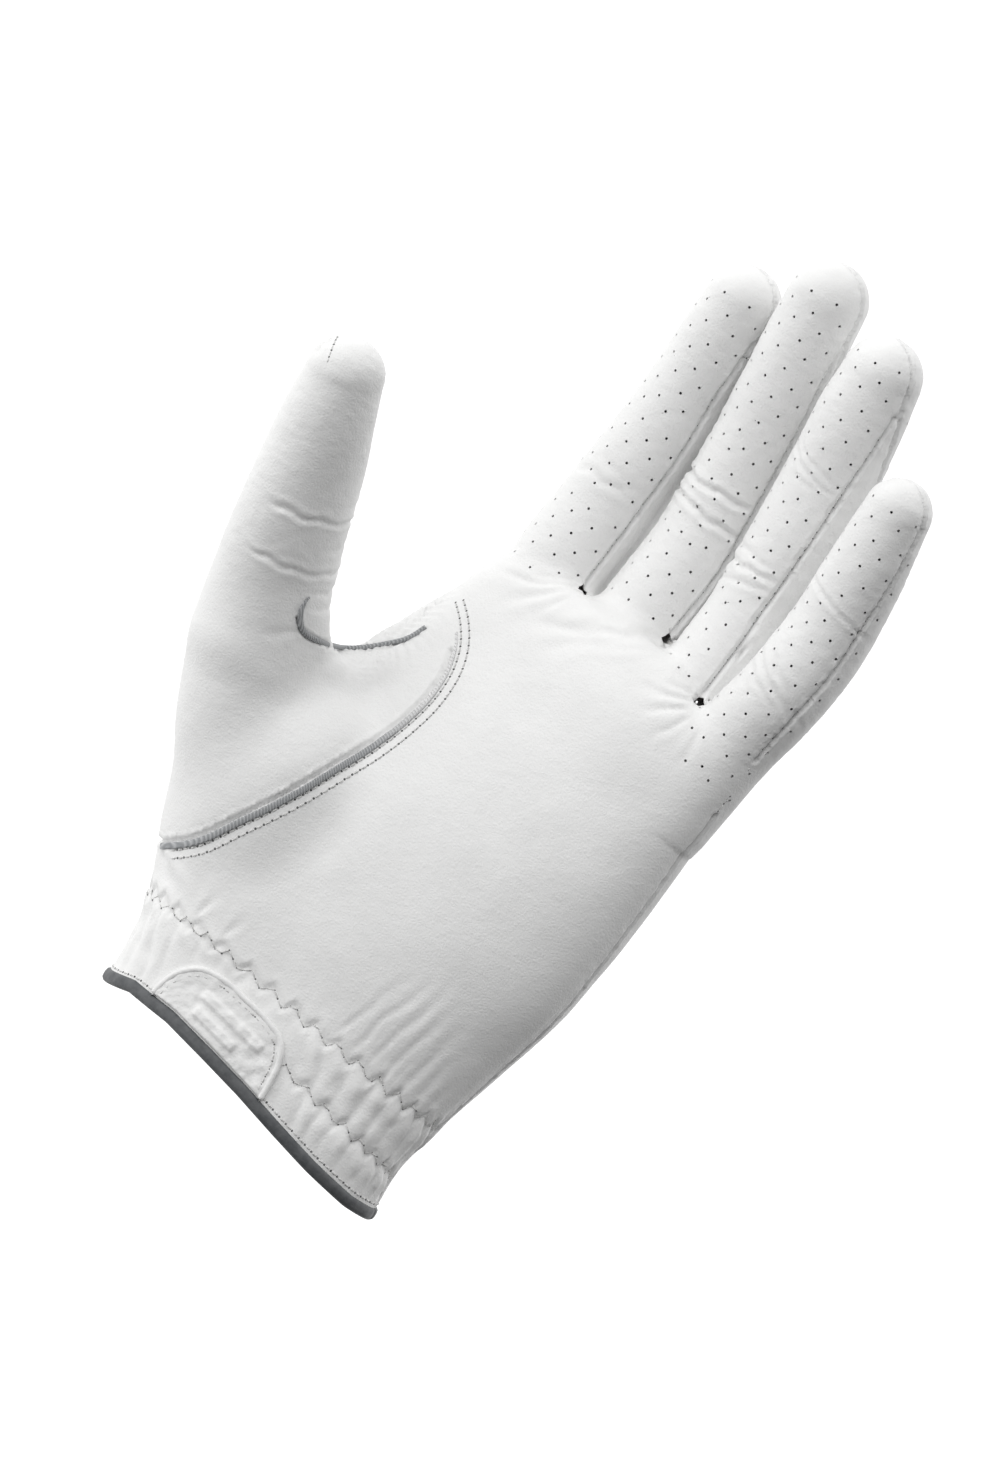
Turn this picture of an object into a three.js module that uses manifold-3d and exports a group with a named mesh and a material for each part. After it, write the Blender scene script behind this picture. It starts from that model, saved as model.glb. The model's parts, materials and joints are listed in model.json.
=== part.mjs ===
// A left-hand golf glove, filled out as by the hand inside it: thin leather shells sewn edge to edge.
// Units are millimetres. +Z runs from the wrist to the fingertips, the palm faces -Y and the thumb is
// at -X. The origin is the middle of the wrist opening.
import * as THREE from "three";
import { mergeVertices } from "three/addons/utils/BufferGeometryUtils.js";
import Module from "manifold-3d";

const wasm = await Module();
wasm.setup();

// ---- Driving dimensions ----------------------------------------------------------------------------
const LEATHER = 0.9; // wall of every leather panel
const GAP = 0.3; // clearance between neighbouring pieces
const PALM_SIDES = 32; // points round the palm
const FINGER_SIDES = 16; // points round a finger
const PALM_SQUARENESS = 2.3; // exponent of the palm's superellipse, where 2 is an ellipse

// Cross-sections of the palm by height: the outline's left and right edges seen from the front, half the
// depth, the middle's y, the turn about Z in degrees that brings the little finger forward, and the slant
// and lean of the section, as rise per millimetre of x and of y.
const PALM = [
  { z: 0, left: -35.4, right: 35.6, depth: 19, y: 0, turn: 3, slant: -0.12, lean: 0.02 },
  { z: 12, left: -35.4, right: 34.4, depth: 18, y: 0, turn: 5, slant: -0.09, lean: 0.01 },
  { z: 22, left: -37, right: 36, depth: 17.5, y: 0, turn: 7, slant: -0.05, lean: 0 },
  { z: 36, left: -41, right: 39.3, depth: 17.5, y: -0.5, turn: 10, slant: 0, lean: 0 },
  { z: 50, left: -41.5, right: 42, depth: 17, y: -1, turn: 14, slant: 0, lean: 0 },
  { z: 65, left: -37, right: 43, depth: 16.5, y: -1.5, turn: 18, slant: 0, lean: 0 },
  { z: 80, left: -32, right: 43.5, depth: 16, y: -1.5, turn: 22, slant: 0, lean: 0 },
  { z: 95, left: -28, right: 43.5, depth: 15, y: -1.5, turn: 26, slant: 0, lean: 0 },
  { z: 109, left: -25.3, right: 43.8, depth: 14, y: -1.5, turn: 30, slant: -0.03, lean: 0 },
  { z: 117, left: -24, right: 44, depth: 12.5, y: -1.5, turn: 31, slant: -0.06, lean: 0 },
  { z: 122, left: -20, right: 40, depth: 10.5, y: -1.5, turn: 31, slant: -0.1, lean: 0 },
  { z: 125.5, left: -12, right: 30, depth: 6.5, y: -1.5, turn: 31, slant: -0.12, lean: 0 },
];

// Fingers, from a root inside the palm to the centre of the round tip: [x, y, z, half width]. turn is the
// finger's own turn about its length, curl the height of its middle joint, reach half the leather that
// bends there, crotch where its side walls start and sides the seams that it has.
const FINGERS = {
  index: {
    axis: [[-11.7, 12, 104, 10], [-12.2, 12.5, 124, 10.4], [-12, 12, 140, 10.2], [-12.1, 10, 155, 9.9],
      [-13.1, 6.5, 170, 9.2], [-14.6, 2.2, 182, 8.6], [-15.2, 0.5, 187.4, 8.1]],
    turn: 31, curl: 150, reach: 10, crotch: 124, strips: [1],
  },
  middle: {
    axis: [[8, 4, 104, 9.7], [8, 4, 126, 10.2], [8.1, 3.5, 140, 10.1], [6.3, 1.5, 155, 9.7],
      [3.7, -2.5, 171, 9.4], [0.5, -8, 186, 8.8], [-1.3, -11.5, 196.6, 8.3]],
    turn: 31, curl: 152, reach: 10, crotch: 126, strips: [-1, 1],
  },
  ring: {
    axis: [[24, -7, 102, 9.5], [25, -7.5, 123, 10], [24.6, -8, 138, 9.8], [22.8, -10.5, 153, 9.8],
      [20.3, -14.5, 169, 9.9], [18, -19.5, 181, 9.6], [15.9, -22.3, 189.6, 8.3]],
    turn: 42, curl: 147, reach: 10, crotch: 123, strips: [-1, 1],
  },
  little: {
    axis: [[36, -15, 98, 8.4], [36.7, -18.5, 117.5, 9.1], [37.8, -22, 130, 9], [37.5, -25, 144, 8.7],
      [36, -29, 156.5, 8], [34.5, -32, 165.5, 7.3], [34, -33.5, 170, 6.9]],
    turn: 36, curl: 141, reach: 9.5, crotch: 119.5, strips: [-1],
  },
};

// The thumb: [x, y, z, half width, half depth].
const THUMB = {
  axis: [[-24, 0, 24, 10, 10], [-34, 1, 42, 11, 11.5], [-46, 0, 62, 13, 13],
    [-54.2, -5, 80, 13, 12.5], [-59.4, -12.5, 97, 12, 11.3], [-63, -18.5, 110, 10.9, 10.4],
    [-66, -24, 121, 9.4, 9.2], [-67.8, -26.5, 126.4, 8.3, 8]],
  turn: -50,
};
const THUMB_ALONG = new THREE.Vector3(-0.4, 0, 0.9165); // square to the thumb's joint planes
const THUMB_ZONE = [100.5, 122.5]; // where the thumb's leather bends, along THUMB_ALONG

// The web between the thumb and the index finger, as upright sections: [x, y, top].
const WEB = [[-54, -8, 88], [-47.3, -4, 89], [-44, -1.5, 86.3], [-40, 1, 85.2], [-36, 4, 87.4],
  [-31, 7.5, 93.2], [-28.4, 9.5, 99], [-25, 11.5, 108], [-20, 13, 111]];
const WEB_BOTTOM = 50;
const WEB_DEPTH = 8;
const WEB_SIDES = 14; // points round a section of the web

// The fold across the knuckles: planes square to KNUCKLE_UP.
const KNUCKLE_UP = new THREE.Vector3(0.235, 0, 0.972);
const KNUCKLE_ZONE = [93, 114.4];

// Outlines seen from the front.
const THUMB_SEAM = [[-40.2, 33.4], [-38, 36], [-33, 45], [-28, 55], [-24, 65], [-21, 72.5], [-19, 80],
  [-18, 87], [-18.5, 93], [-20.5, 98], [-23, 101.2], [-26.5, 104]];
const THUMB_SEAM_BACK = [[-40.2, 33.4], [-40.2, 42], [-40, 55], [-39.5, 68], [-40, 84]];
const WEB_SEAM = [[-47.5, 92], [-47.5, 84.5], [-45.3, 82.1], [-41, 82.4], [-36, 85], [-31, 89.8],
  [-27.6, 94], [-26.2, 98], [-24.6, 100]];
const PATCH_TOP = [[-25.5, 7], [-24, 13], [-20, 17.2], [-10, 16.9], [-1, 15.6], [2.6, 11], [4, 3.5]];
const SLIT = { x: 3, halfWidth: 3.4, top: 42 };
const TAB = { root: -26, hinge: -15, end: 27, low: 8, high: 33, round: 11 };
const EMBLEM = { x: 9, z: 20.5, halfWidth: 7, halfHeight: 5, sides: 20 };

// Trims: the radius of each cord, and how far the cuff's binding reaches up over the leather.
const PIPING_RADIUS = 0.8;
const WEB_BINDING_RADIUS = 0.7;
const SLIT_BINDING_RADIUS = 0.85;
const PATCH_PIPING_RADIUS = 0.6;
const CUFF_BINDING = 2.6;

// Layers laid on the wrist, as distances out from the leather's outside.
const PATCH_LAYER = [GAP, 1];
const LOOP_LAYER = [GAP, 1.1];
const HOOK_LAYER = [1.4, 2.2];
const LINING_LAYER = [2.5, 3.1];
const TAB_LAYER = [3.4, 4.3];
const EMBLEM_LAYER = [4.6, 5.2];
const INSIDE_LAYER = [-LEATHER - GAP - 0.8, -LEATHER - GAP];
const ELASTIC_HEIGHTS = [9, 19];

// ---- Solids ----------------------------------------------------------------------------------------
function solidOf(geometry) {
  const bare = new THREE.BufferGeometry().setAttribute("position", geometry.getAttribute("position"));
  if (geometry.index) bare.setIndex(geometry.index);
  const merged = mergeVertices(bare, 1e-4);
  const vertProperties = new Float32Array(merged.getAttribute("position").array);
  const triVerts = new Uint32Array(merged.index.array);
  const solid = new wasm.Manifold(new wasm.Mesh({ numProp: 3, vertProperties, triVerts }));
  if (solid.volume() >= 0) return solid;
  for (let i = 0; i < triVerts.length; i += 3)
    [triVerts[i + 1], triVerts[i + 2]] = [triVerts[i + 2], triVerts[i + 1]];
  return new wasm.Manifold(new wasm.Mesh({ numProp: 3, vertProperties, triVerts }));
}

function geometryOf(solid) {
  const mesh = solid.getMesh();
  return new THREE.BufferGeometry()
    .setAttribute("position", new THREE.BufferAttribute(new Float32Array(mesh.vertProperties), 3))
    .setIndex(new THREE.BufferAttribute(new Uint32Array(mesh.triVerts), 1));
}

const join = (solids) => solids.reduce((all, next) => all.add(next));
const cut = (solid, cutters) => cutters.reduce((left, next) => left.subtract(next), solid);

// The largest of a solid's separate pieces: a cut can leave a crumb.
function largest(solid) {
  return solid.decompose().reduce((best, next) => (next.volume() > best.volume() ? next : best));
}

// A closed solid through rings of equally many points, each end closed by a fan round its middle.
function loft(rings) {
  const n = rings[0].length;
  const points = rings.flat();
  const faces = [];
  for (let k = 0; k + 1 < rings.length; k++)
    for (let i = 0; i < n; i++) {
      const j = (i + 1) % n;
      const [a, b, c, d] = [k * n + i, k * n + j, (k + 1) * n + i, (k + 1) * n + j];
      faces.push(a, b, d, a, d, c);
    }
  for (const [first, turned] of [[0, true], [(rings.length - 1) * n, false]]) {
    const middle = new THREE.Vector3();
    for (let i = 0; i < n; i++) middle.addScaledVector(points[first + i], 1 / n);
    points.push(middle);
    for (let i = 0; i < n; i++) {
      const [a, b] = [first + i, first + ((i + 1) % n)];
      faces.push(...(turned ? [b, a] : [a, b]), points.length - 1);
    }
  }
  return solidOf(new THREE.BufferGeometry().setFromPoints(points).setIndex(faces));
}

const SPACE = 500; // wider than the whole glove
const FAR = 90; // farther out than any part of the glove
const UP = new THREE.Vector3(0, 0, 1);
const RIGHT = new THREE.Vector3(1, 0, 0);

// Everything on the far side of a plane.
function beyond(normal, distance) {
  const box = new THREE.BoxGeometry(SPACE, SPACE, 2 * SPACE).translate(0, 0, SPACE);
  box.applyQuaternion(new THREE.Quaternion().setFromUnitVectors(UP, normal.clone().normalize()));
  const shift = normal.clone().normalize().multiplyScalar(distance);
  return solidOf(box.translate(shift.x, shift.y, shift.z));
}
const short = (normal, distance) => beyond(normal.clone().negate(), -distance);
const between = (solid, normal, low, high) =>
  solid.intersect(beyond(normal, low + GAP / 2)).intersect(short(normal, high - GAP / 2));

// A front outline as a prism that runs through y from low to high.
function prism(outline, low, high) {
  const shape = new THREE.Shape(outline.map(([x, z]) => new THREE.Vector2(x, z)));
  const geometry = new THREE.ExtrudeGeometry(shape, { depth: high - low, bevelEnabled: false });
  return solidOf(geometry.rotateX(Math.PI / 2).translate(0, high, 0));
}

const front = (outline) => prism(outline, -FAR, 0);
const back = (outline) => prism(outline, 0, FAR);

// ---- The palm --------------------------------------------------------------------------------------
function palmAt(z) {
  const k = Math.min(PALM.length - 2, Math.max(0, PALM.findIndex((s) => s.z > z) - 1));
  const share = (z - PALM[k].z) / (PALM[k + 1].z - PALM[k].z);
  const mix = (key) => PALM[k][key] + share * (PALM[k + 1][key] - PALM[k][key]);
  return { z, left: mix("left"), right: mix("right"), depth: mix("depth"), y: mix("y"),
    turn: mix("turn"), slant: mix("slant"), lean: mix("lean") };
}

function palmAxes(section) {
  const turn = THREE.MathUtils.degToRad(section.turn);
  const halfWidth = (section.right - section.left) / 2;
  const x = (section.right + section.left) / 2;
  return {
    centre: new THREE.Vector3(x, section.y, section.z),
    across: new THREE.Vector3(Math.cos(turn), -Math.sin(turn), 0),
    forward: new THREE.Vector3(-Math.sin(turn), -Math.cos(turn), 0),
    width: Math.sqrt(halfWidth ** 2 - (section.depth * Math.sin(turn)) ** 2) / Math.cos(turn),
  };
}

function palmRing(section, grow) {
  const { centre, across, forward, width } = palmAxes(section);
  const power = (value) => Math.sign(value) * Math.abs(value) ** (2 / PALM_SQUARENESS);
  return Array.from({ length: PALM_SIDES }, (_, i) => {
    const angle = (2 * Math.PI * (i + 0.5)) / PALM_SIDES;
    const point = centre.clone()
      .addScaledVector(across, (width + grow) * power(Math.cos(angle)))
      .addScaledVector(forward, (section.depth + grow) * power(Math.sin(angle)));
    point.z += section.slant * (point.x - centre.x) + section.lean * (point.y - centre.y);
    return point;
  });
}

// The palm's outside moved out by grow. below lengthens it past the wrist, and cap lowers its closed top.
function palmSolid(grow, below = 0, cap = 0) {
  const sections = PALM.map((s, i) => ({ ...s, z: s.z - (i === PALM.length - 1 ? cap : 0) }));
  sections[0] = { ...sections[0], z: sections[0].z - below };
  return loft(sections.map((s) => palmRing(s, grow)));
}

// The lower palm only, from the wrist to a little over the fold of the thumb, for pieces laid on it.
function wristLayer(low, high) {
  const sections = [{ ...PALM[0], z: -1 }, ...PALM.slice(1, 5)];
  const solid = (grow) => loft(sections.map((s) => palmRing(s, grow)));
  return solid(high).subtract(solid(low));
}

// A slab that fills the front or the back half of the palm, less a margin at the middle.
function palmHalf(sign, margin) {
  const rings = [{ ...PALM[0], z: -12 }, ...PALM].map((section) => {
    const { centre, across, forward, width } = palmAxes(section);
    const sides = [-width - 10, -width + 3, width - 3, width + 10];
    const corners = [...sides.map((a) => [a, margin]), [width + 10, FAR], [-width - 10, FAR]];
    return corners.map(([a, d]) =>
      centre.clone().addScaledVector(across, a).addScaledVector(forward, sign * d));
  });
  return loft(rings);
}

// ---- Fingers and thumb -----------------------------------------------------------------------------
// Frames along a digit: point, half width and depth, the way along, across towards the little finger, and
// forward towards the palm's side.
function digitFrames(digit, plainDepth = 0.96) {
  const points = digit.axis.map(([x, y, z]) => new THREE.Vector3(x, y, z));
  const turn = THREE.MathUtils.degToRad(digit.turn);
  return points.map((point, i) => {
    const before = points[Math.max(0, i - 1)];
    const after = points[Math.min(points.length - 1, i + 1)];
    const along = after.clone().sub(before).normalize();
    const forward = new THREE.Vector3(-Math.sin(turn), -Math.cos(turn), 0);
    forward.addScaledVector(along, -forward.dot(along)).normalize();
    const across = forward.clone().cross(along).negate();
    const [, , , width, depth = width * plainDepth] = digit.axis[i];
    return { point, along, across, forward, width, depth };
  });
}

function ringOf(frame, grow, sides = FINGER_SIDES) {
  return Array.from({ length: sides }, (_, i) => {
    const angle = (2 * Math.PI * (i + 0.5)) / sides;
    return frame.point.clone()
      .addScaledVector(frame.across, (frame.width + grow) * Math.cos(angle))
      .addScaledVector(frame.forward, (frame.depth + grow) * Math.sin(angle));
  });
}

// A digit's outside moved out by grow, with its round tip.
function digitSolid(digit, grow) {
  const frames = digitFrames(digit);
  const last = frames.at(-1);
  const rings = frames.map((frame) => ringOf(frame, grow));
  for (const angle of [25, 48, 68, 82].map(THREE.MathUtils.degToRad)) {
    const shrink = Math.cos(angle);
    const rise = (last.width + grow) * Math.sin(angle);
    const point = last.point.clone().addScaledVector(last.along, rise);
    const width = (last.width + grow) * shrink;
    const depth = (last.depth + grow) * shrink;
    rings.push(ringOf({ ...last, point, width, depth }, 0));
  }
  return loft(rings);
}

// The frame at a height.
function frameAt(digit, z) {
  const frames = digitFrames(digit);
  const k = Math.max(0, Math.min(frames.length - 2, frames.findIndex((f) => f.point.z > z) - 1));
  const share = (z - frames[k].point.z) / (frames[k + 1].point.z - frames[k].point.z);
  const mix = (key) => frames[k][key].clone().lerp(frames[k + 1][key], share);
  return { point: mix("point"), along: mix("along").normalize(), across: mix("across").normalize(),
    forward: mix("forward").normalize(), width: frames[k].width, depth: frames[k].depth };
}

// A slab along a digit from a height to a length past the start of its tip. shape gives its corners
// [across, forward] for a frame and how far up the digit it is, from 0 to 1.
function digitSlab(digit, shape, fromZ, past) {
  const frames = [frameAt(digit, fromZ), ...digitFrames(digit).filter((f) => f.point.z > fromZ + 1)];
  const last = frames.pop();
  frames.push({ ...last, point: last.point.clone().addScaledVector(last.along, past) });
  const top = frames.length - 1;
  return loft(frames.map((frame, i) => shape(frame, i / top).map(([a, d]) =>
    frame.point.clone().addScaledVector(frame.across, a).addScaledVector(frame.forward, d))));
}

// The side strip between two fingers, grown all round: wide at the crotch, narrow where the tip begins.
function stripSlab(digit, side, grow, fromZ) {
  const shape = (frame, share) => {
    const half = frame.width * 0.62 * (1 - 0.75 * share) + grow;
    const out = side * frame.width * 1.15;
    return [[0, -half], [out, -half], [out, half], [0, half]];
  };
  return digitSlab(digit, shape, fromZ, grow);
}

// The front (sign 1) or the back (sign -1) half of a digit, tip and all.
function halfSlab(digit, sign, fromZ) {
  const shape = () => [[-30, sign * (GAP / 2)], [30, sign * (GAP / 2)], [30, sign * 30], [-30, sign * 30]];
  return digitSlab(digit, shape, fromZ, 15);
}

// ---- The whole skin --------------------------------------------------------------------------------
function webRing([x, y, top], grow) {
  const halfHeight = (top - WEB_BOTTOM) / 2;
  return Array.from({ length: WEB_SIDES }, (_, i) => {
    const angle = (2 * Math.PI * i) / WEB_SIDES;
    const depth = (WEB_DEPTH + grow) * Math.cos(angle);
    const height = (halfHeight + grow) * Math.sin(angle);
    return new THREE.Vector3(x, y + depth, WEB_BOTTOM + halfHeight + height);
  });
}
const webSolid = (grow) => loft(WEB.map((section) => webRing(section, grow)));

function fingerSolids(grow) {
  const solids = Object.entries(FINGERS).map(([name, digit]) => [name, digitSolid(digit, grow)]);
  return Object.fromEntries(solids);
}

const BELOW_WRIST = 4; // how far the inside runs out past the wrist, which opens it
const outsides = fingerSolids(0);
const insides = fingerSolids(-LEATHER);
const trunkOutside = join([palmSolid(0), webSolid(0), digitSolid(THUMB, 0)]);
const trunkInside = join([
  palmSolid(-LEATHER, BELOW_WRIST, LEATHER),
  webSolid(-LEATHER),
  digitSolid(THUMB, -LEATHER),
]);
const outside = join([trunkOutside, ...Object.values(outsides)]);
const inside = join([trunkInside, ...Object.values(insides)]);
const skin = outside.subtract(inside);

// ---- Lines on the surface --------------------------------------------------------------------------
const bothSides = new THREE.MeshBasicMaterial({ side: THREE.DoubleSide });
const outsideMesh = new THREE.Mesh(geometryOf(outside), bothSides);
const ray = new THREE.Raycaster();

// The point of the outside seen at (x, z) from the front (side -1) or the back (side 1), moved out.
function onSurface([x, z], side, out) {
  ray.set(new THREE.Vector3(x, side * SPACE, z), new THREE.Vector3(0, -side, 0));
  const hit = ray.intersectObject(outsideMesh)[0];
  if (!hit) throw new Error(`the outline point ${x}, ${z} misses the glove`);
  return hit.point.clone().add(new THREE.Vector3(0, side * out, 0));
}

// A round cord laid along a line of points.
function tube(points, radius, steps, sides = 8) {
  const corners = Array.from({ length: sides }, (_, i) => {
    const angle = (2 * Math.PI * i) / sides;
    return new THREE.Vector2(radius * Math.cos(angle), radius * Math.sin(angle));
  });
  const shape = new THREE.Shape(corners);
  const extrudePath = new THREE.CatmullRomCurve3(points, false, "centripetal");
  return solidOf(new THREE.ExtrudeGeometry(shape, { steps, bevelEnabled: false, extrudePath }));
}

function pathOn(outline, side, out, steps) {
  const line = new THREE.CatmullRomCurve3(outline.map(([x, z]) => new THREE.Vector3(x, 0, z)));
  return line.getSpacedPoints(steps).map((p) => onSurface([p.x, p.z], side, out));
}

// ---- Assembly --------------------------------------------------------------------------------------
const glove = new THREE.Group();
const COLOURS = { leather: 0xf4f4f2, grey: 0x8b8d90, hook: 0xe9e9ea, elastic: 0xf2f2f2 };

function add(name, solid, colour = "leather") {
  const looks = { color: COLOURS[colour], roughness: 0.55, metalness: 0 };
  const mesh = new THREE.Mesh(geometryOf(largest(solid)), new THREE.MeshStandardMaterial(looks));
  mesh.name = name;
  glove.add(mesh);
}

// The thumb's tip and the leather that bends behind it.
const THUMB_RIGHT = -40; // the thumb's free part lies wholly to the left of this x
const THUMB_PANELS_FROM = 60; // the height its front and back halves are traced from
const thumbSide = short(RIGHT, THUMB_RIGHT);
const thumbTube = skin.intersect(beyond(THUMB_ALONG, THUMB_ZONE[0])).intersect(thumbSide);
const thumbTip = between(thumbTube, THUMB_ALONG, THUMB_ZONE[1], SPACE);
add("thumb_bend_leather", between(thumbTube, THUMB_ALONG, ...THUMB_ZONE));
add("thumb_tip_front", thumbTip.intersect(halfSlab(THUMB, 1, THUMB_PANELS_FROM)));
add("thumb_tip_back", thumbTip.intersect(halfSlab(THUMB, -1, THUMB_PANELS_FROM)));

// Below the thumb's zone the rest is the hand, the fold over the knuckles and the roots of the fingers.
const trunk = skin.subtract(beyond(THUMB_ALONG, THUMB_ZONE[0] - GAP / 2).intersect(thumbSide));
const hand = between(trunk, KNUCKLE_UP, -SPACE, KNUCKLE_ZONE[0]);
add("knuckle_leather", between(trunk, KNUCKLE_UP, ...KNUCKLE_ZONE));

// Finger ends: a bending sleeve at the middle joint, then the panels of the tip.
const zoneOf = (digit) => {
  const middle = frameAt(digit, digit.curl);
  const at = middle.point.dot(middle.along);
  return { along: middle.along, low: at - digit.reach, high: at + digit.reach };
};

function addFingerEnd(name, digit) {
  const { along, low, high } = zoneOf(digit);
  const tubeOfLeather = outsides[name].subtract(insides[name]);
  const end = between(tubeOfLeather, along, high, SPACE);
  const from = digit.crotch - 2;
  const bare = cut(end, digit.strips.map((side) => stripSlab(digit, side, GAP, from)));
  add(`${name}_bend_leather`, between(tubeOfLeather, along, low, high));
  if (name === "index") {
    add("index_wrap", bare); // one piece goes round from seam to seam
  } else {
    add(`${name}_front`, bare.intersect(halfSlab(digit, 1, from)));
    add(`${name}_back`, bare.intersect(halfSlab(digit, -1, from)));
  }
  for (const side of digit.strips) {
    const sideName = side > 0 ? "outer" : "inner";
    add(`${name}_${sideName}_fourchette`, end.intersect(stripSlab(digit, side, -GAP / 2, from)));
  }
}
for (const [name, digit] of Object.entries(FINGERS)) addFingerEnd(name, digit);

// The roots of the fingers: one wrap of leather, less the fourchettes at the three crotches.
const FREE_FINGERS_FROM = 120; // the fingers are apart from this height up
function freeFinger(digit) {
  const { along, low } = zoneOf(digit);
  return digitSolid(digit, 0.5)
    .intersect(beyond(along, low - GAP / 2))
    .intersect(beyond(UP, FREE_FINGERS_FROM));
}
const aboveKnuckles = between(trunk, KNUCKLE_UP, KNUCKLE_ZONE[1], SPACE);
const roots = cut(aboveKnuckles, Object.values(FINGERS).map(freeFinger));
const CROTCH_DEPTH = 5; // how far the strips between the fingers run down below the crotch
const names = Object.keys(FINGERS);
const crotches = names.slice(0, 3).map((name, i) => {
  const [left, right] = [FINGERS[name], FINGERS[names[i + 1]]];
  const from = Math.min(left.crotch, right.crotch) - CROTCH_DEPTH;
  const slab = (grow) => join([stripSlab(left, 1, grow, from), stripSlab(right, -1, grow, from)]);
  return { name: `${name}_${names[i + 1]}_fourchette`, slab };
});
for (const { name, slab } of crotches) add(name, roots.intersect(slab(-GAP / 2)));
add("finger_roots", cut(roots, crotches.map(({ slab }) => slab(GAP))));

// The hand: palm, thumb and back panels and the gusset in the web.
const splitNormal = new THREE.Vector3(-26, 36, 0).normalize(); // upright plane through the thumb and web
const splitAt = splitNormal.dot(new THREE.Vector3(-54, -9, 0));
const [gussetLeft, gussetSide] = WEB_SEAM[0];
const gussetTop = [[-22, 104], [-22, 120], [gussetLeft - 4, 120], [gussetLeft - 4, gussetSide]];
const gussetPrism = prism([...WEB_SEAM, ...gussetTop], -FAR, FAR);

// Everything to the left of a seam that runs up between the thumb and the palm.
function leftOfSeam(seam, topRight) {
  const outline = [[-FAR, seam[0][1] - 1.4], ...seam, topRight, [-FAR, topRight[1]]];
  return prism(outline, -FAR, FAR);
}
const thumbFront = leftOfSeam(THUMB_SEAM, [-30, 120]).intersect(short(splitNormal, splitAt));
const thumbBack = leftOfSeam(THUMB_SEAM_BACK, [-40, 120]).intersect(beyond(splitNormal, splitAt));
const thumbRegion = join([thumbFront, thumbBack]);

const pipingPath = pathOn(THUMB_SEAM.slice(0, 8), -1, PIPING_RADIUS * 0.4, 22);
const webBindingPath = pathOn(WEB_SEAM.slice(1), -1, WEB_BINDING_RADIUS * 0.4, 20);
const grooves = [
  tube(pipingPath, PIPING_RADIUS + GAP, 40),
  tube(webBindingPath, WEB_BINDING_RADIUS + GAP, 36),
];

// The slit up the back: a narrow wedge, and the route of its binding up one side and down the other.
const slitOutline = [[SLIT.x - SLIT.halfWidth, -8], [SLIT.x, SLIT.top], [SLIT.x + SLIT.halfWidth, -8]];
const slitSide = [[3.4, 1.5], [1.9, 20], [0.9, 38]];
const slitPath = [
  ...slitSide.map(([half, z]) => [SLIT.x - half, z]),
  [SLIT.x, SLIT.top - 0.8],
  ...slitSide.toReversed().map(([half, z]) => [SLIT.x + half, z]),
];
const slitLine = pathOn(slitPath, 1, -LEATHER / 2, 30);
const slitGroove = tube(slitLine, SLIT_BINDING_RADIUS + GAP, 60);

// A solid seen from the front moved out by GAP all round, for cutting its neighbours.
function inflate(solid) {
  const shifts = [[GAP, 0], [-GAP, 0], [0, GAP], [0, -GAP]];
  return join([solid, ...shifts.map(([x, z]) => solid.translate([x, 0, z]))]);
}

// The leather ends CUFF_BINDING above the slanted plane of the opening.
const cuffUp = new THREE.Vector3(-PALM[0].slant, -PALM[0].lean, 1).normalize();
const aboveCuff = beyond(cuffUp, CUFF_BINDING);
const gusset = hand.intersect(gussetPrism);
const body = cut(hand.intersect(aboveCuff), grooves);
const thumbPanel = cut(body.intersect(thumbRegion), [inflate(gussetPrism)]);
const restOfHand = cut(body, [thumbRegion, inflate(gussetPrism)]);
const thumbFrontGap = tube(pathOn(THUMB_SEAM, -1, -LEATHER / 2, 22), LEATHER, 40);
const thumbBackGap = tube(pathOn(THUMB_SEAM_BACK, 1, -LEATHER / 2, 12), LEATHER, 24);
const frontOfHand = restOfHand.intersect(palmHalf(1, GAP / 2));
const backOfHand = restOfHand.intersect(palmHalf(-1, GAP / 2));

add("web_gusset", cut(gusset, grooves));
add("thumb_panel", thumbPanel);
add("palm_panel", cut(frontOfHand, [thumbFrontGap]));
add("back_panel", cut(backOfHand, [back(slitOutline), slitGroove, thumbBackGap]));
add("thenar_piping", tube(pipingPath, PIPING_RADIUS, 40), "grey");
add("web_binding", tube(webBindingPath, WEB_BINDING_RADIUS, 36), "grey");
add("slit_binding", tube(slitLine, SLIT_BINDING_RADIUS, 60), "grey");

// The grey binding round the wrist opening, broken where the slit meets it.
const BINDING_FOLD = 0.7; // how far the binding stands out from the leather on each side
const bindingWall = palmSolid(BINDING_FOLD).subtract(palmSolid(-LEATHER - BINDING_FOLD, BELOW_WRIST));
const cuffRing = between(bindingWall, cuffUp, -0.2, CUFF_BINDING);
add("cuff_binding", cut(cuffRing, [inflate(back(slitOutline)), slitGroove]), "grey");

// Pieces laid on or inside the wrist.
const patchOutline = [...PATCH_TOP, [4.5, 0], [-26, 0]];
const patchPath = pathOn(PATCH_TOP, -1, 2 * PATCH_PIPING_RADIUS, 24);
const patchGroove = tube(patchPath, PATCH_PIPING_RADIUS + GAP, 36);
const patchLayer = wristLayer(...PATCH_LAYER).intersect(beyond(cuffUp, CUFF_BINDING + GAP));
add("palm_patch_piping", tube(patchPath, PATCH_PIPING_RADIUS, 36));
add("palm_patch", cut(patchLayer.intersect(front(patchOutline)), [patchGroove]));

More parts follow.
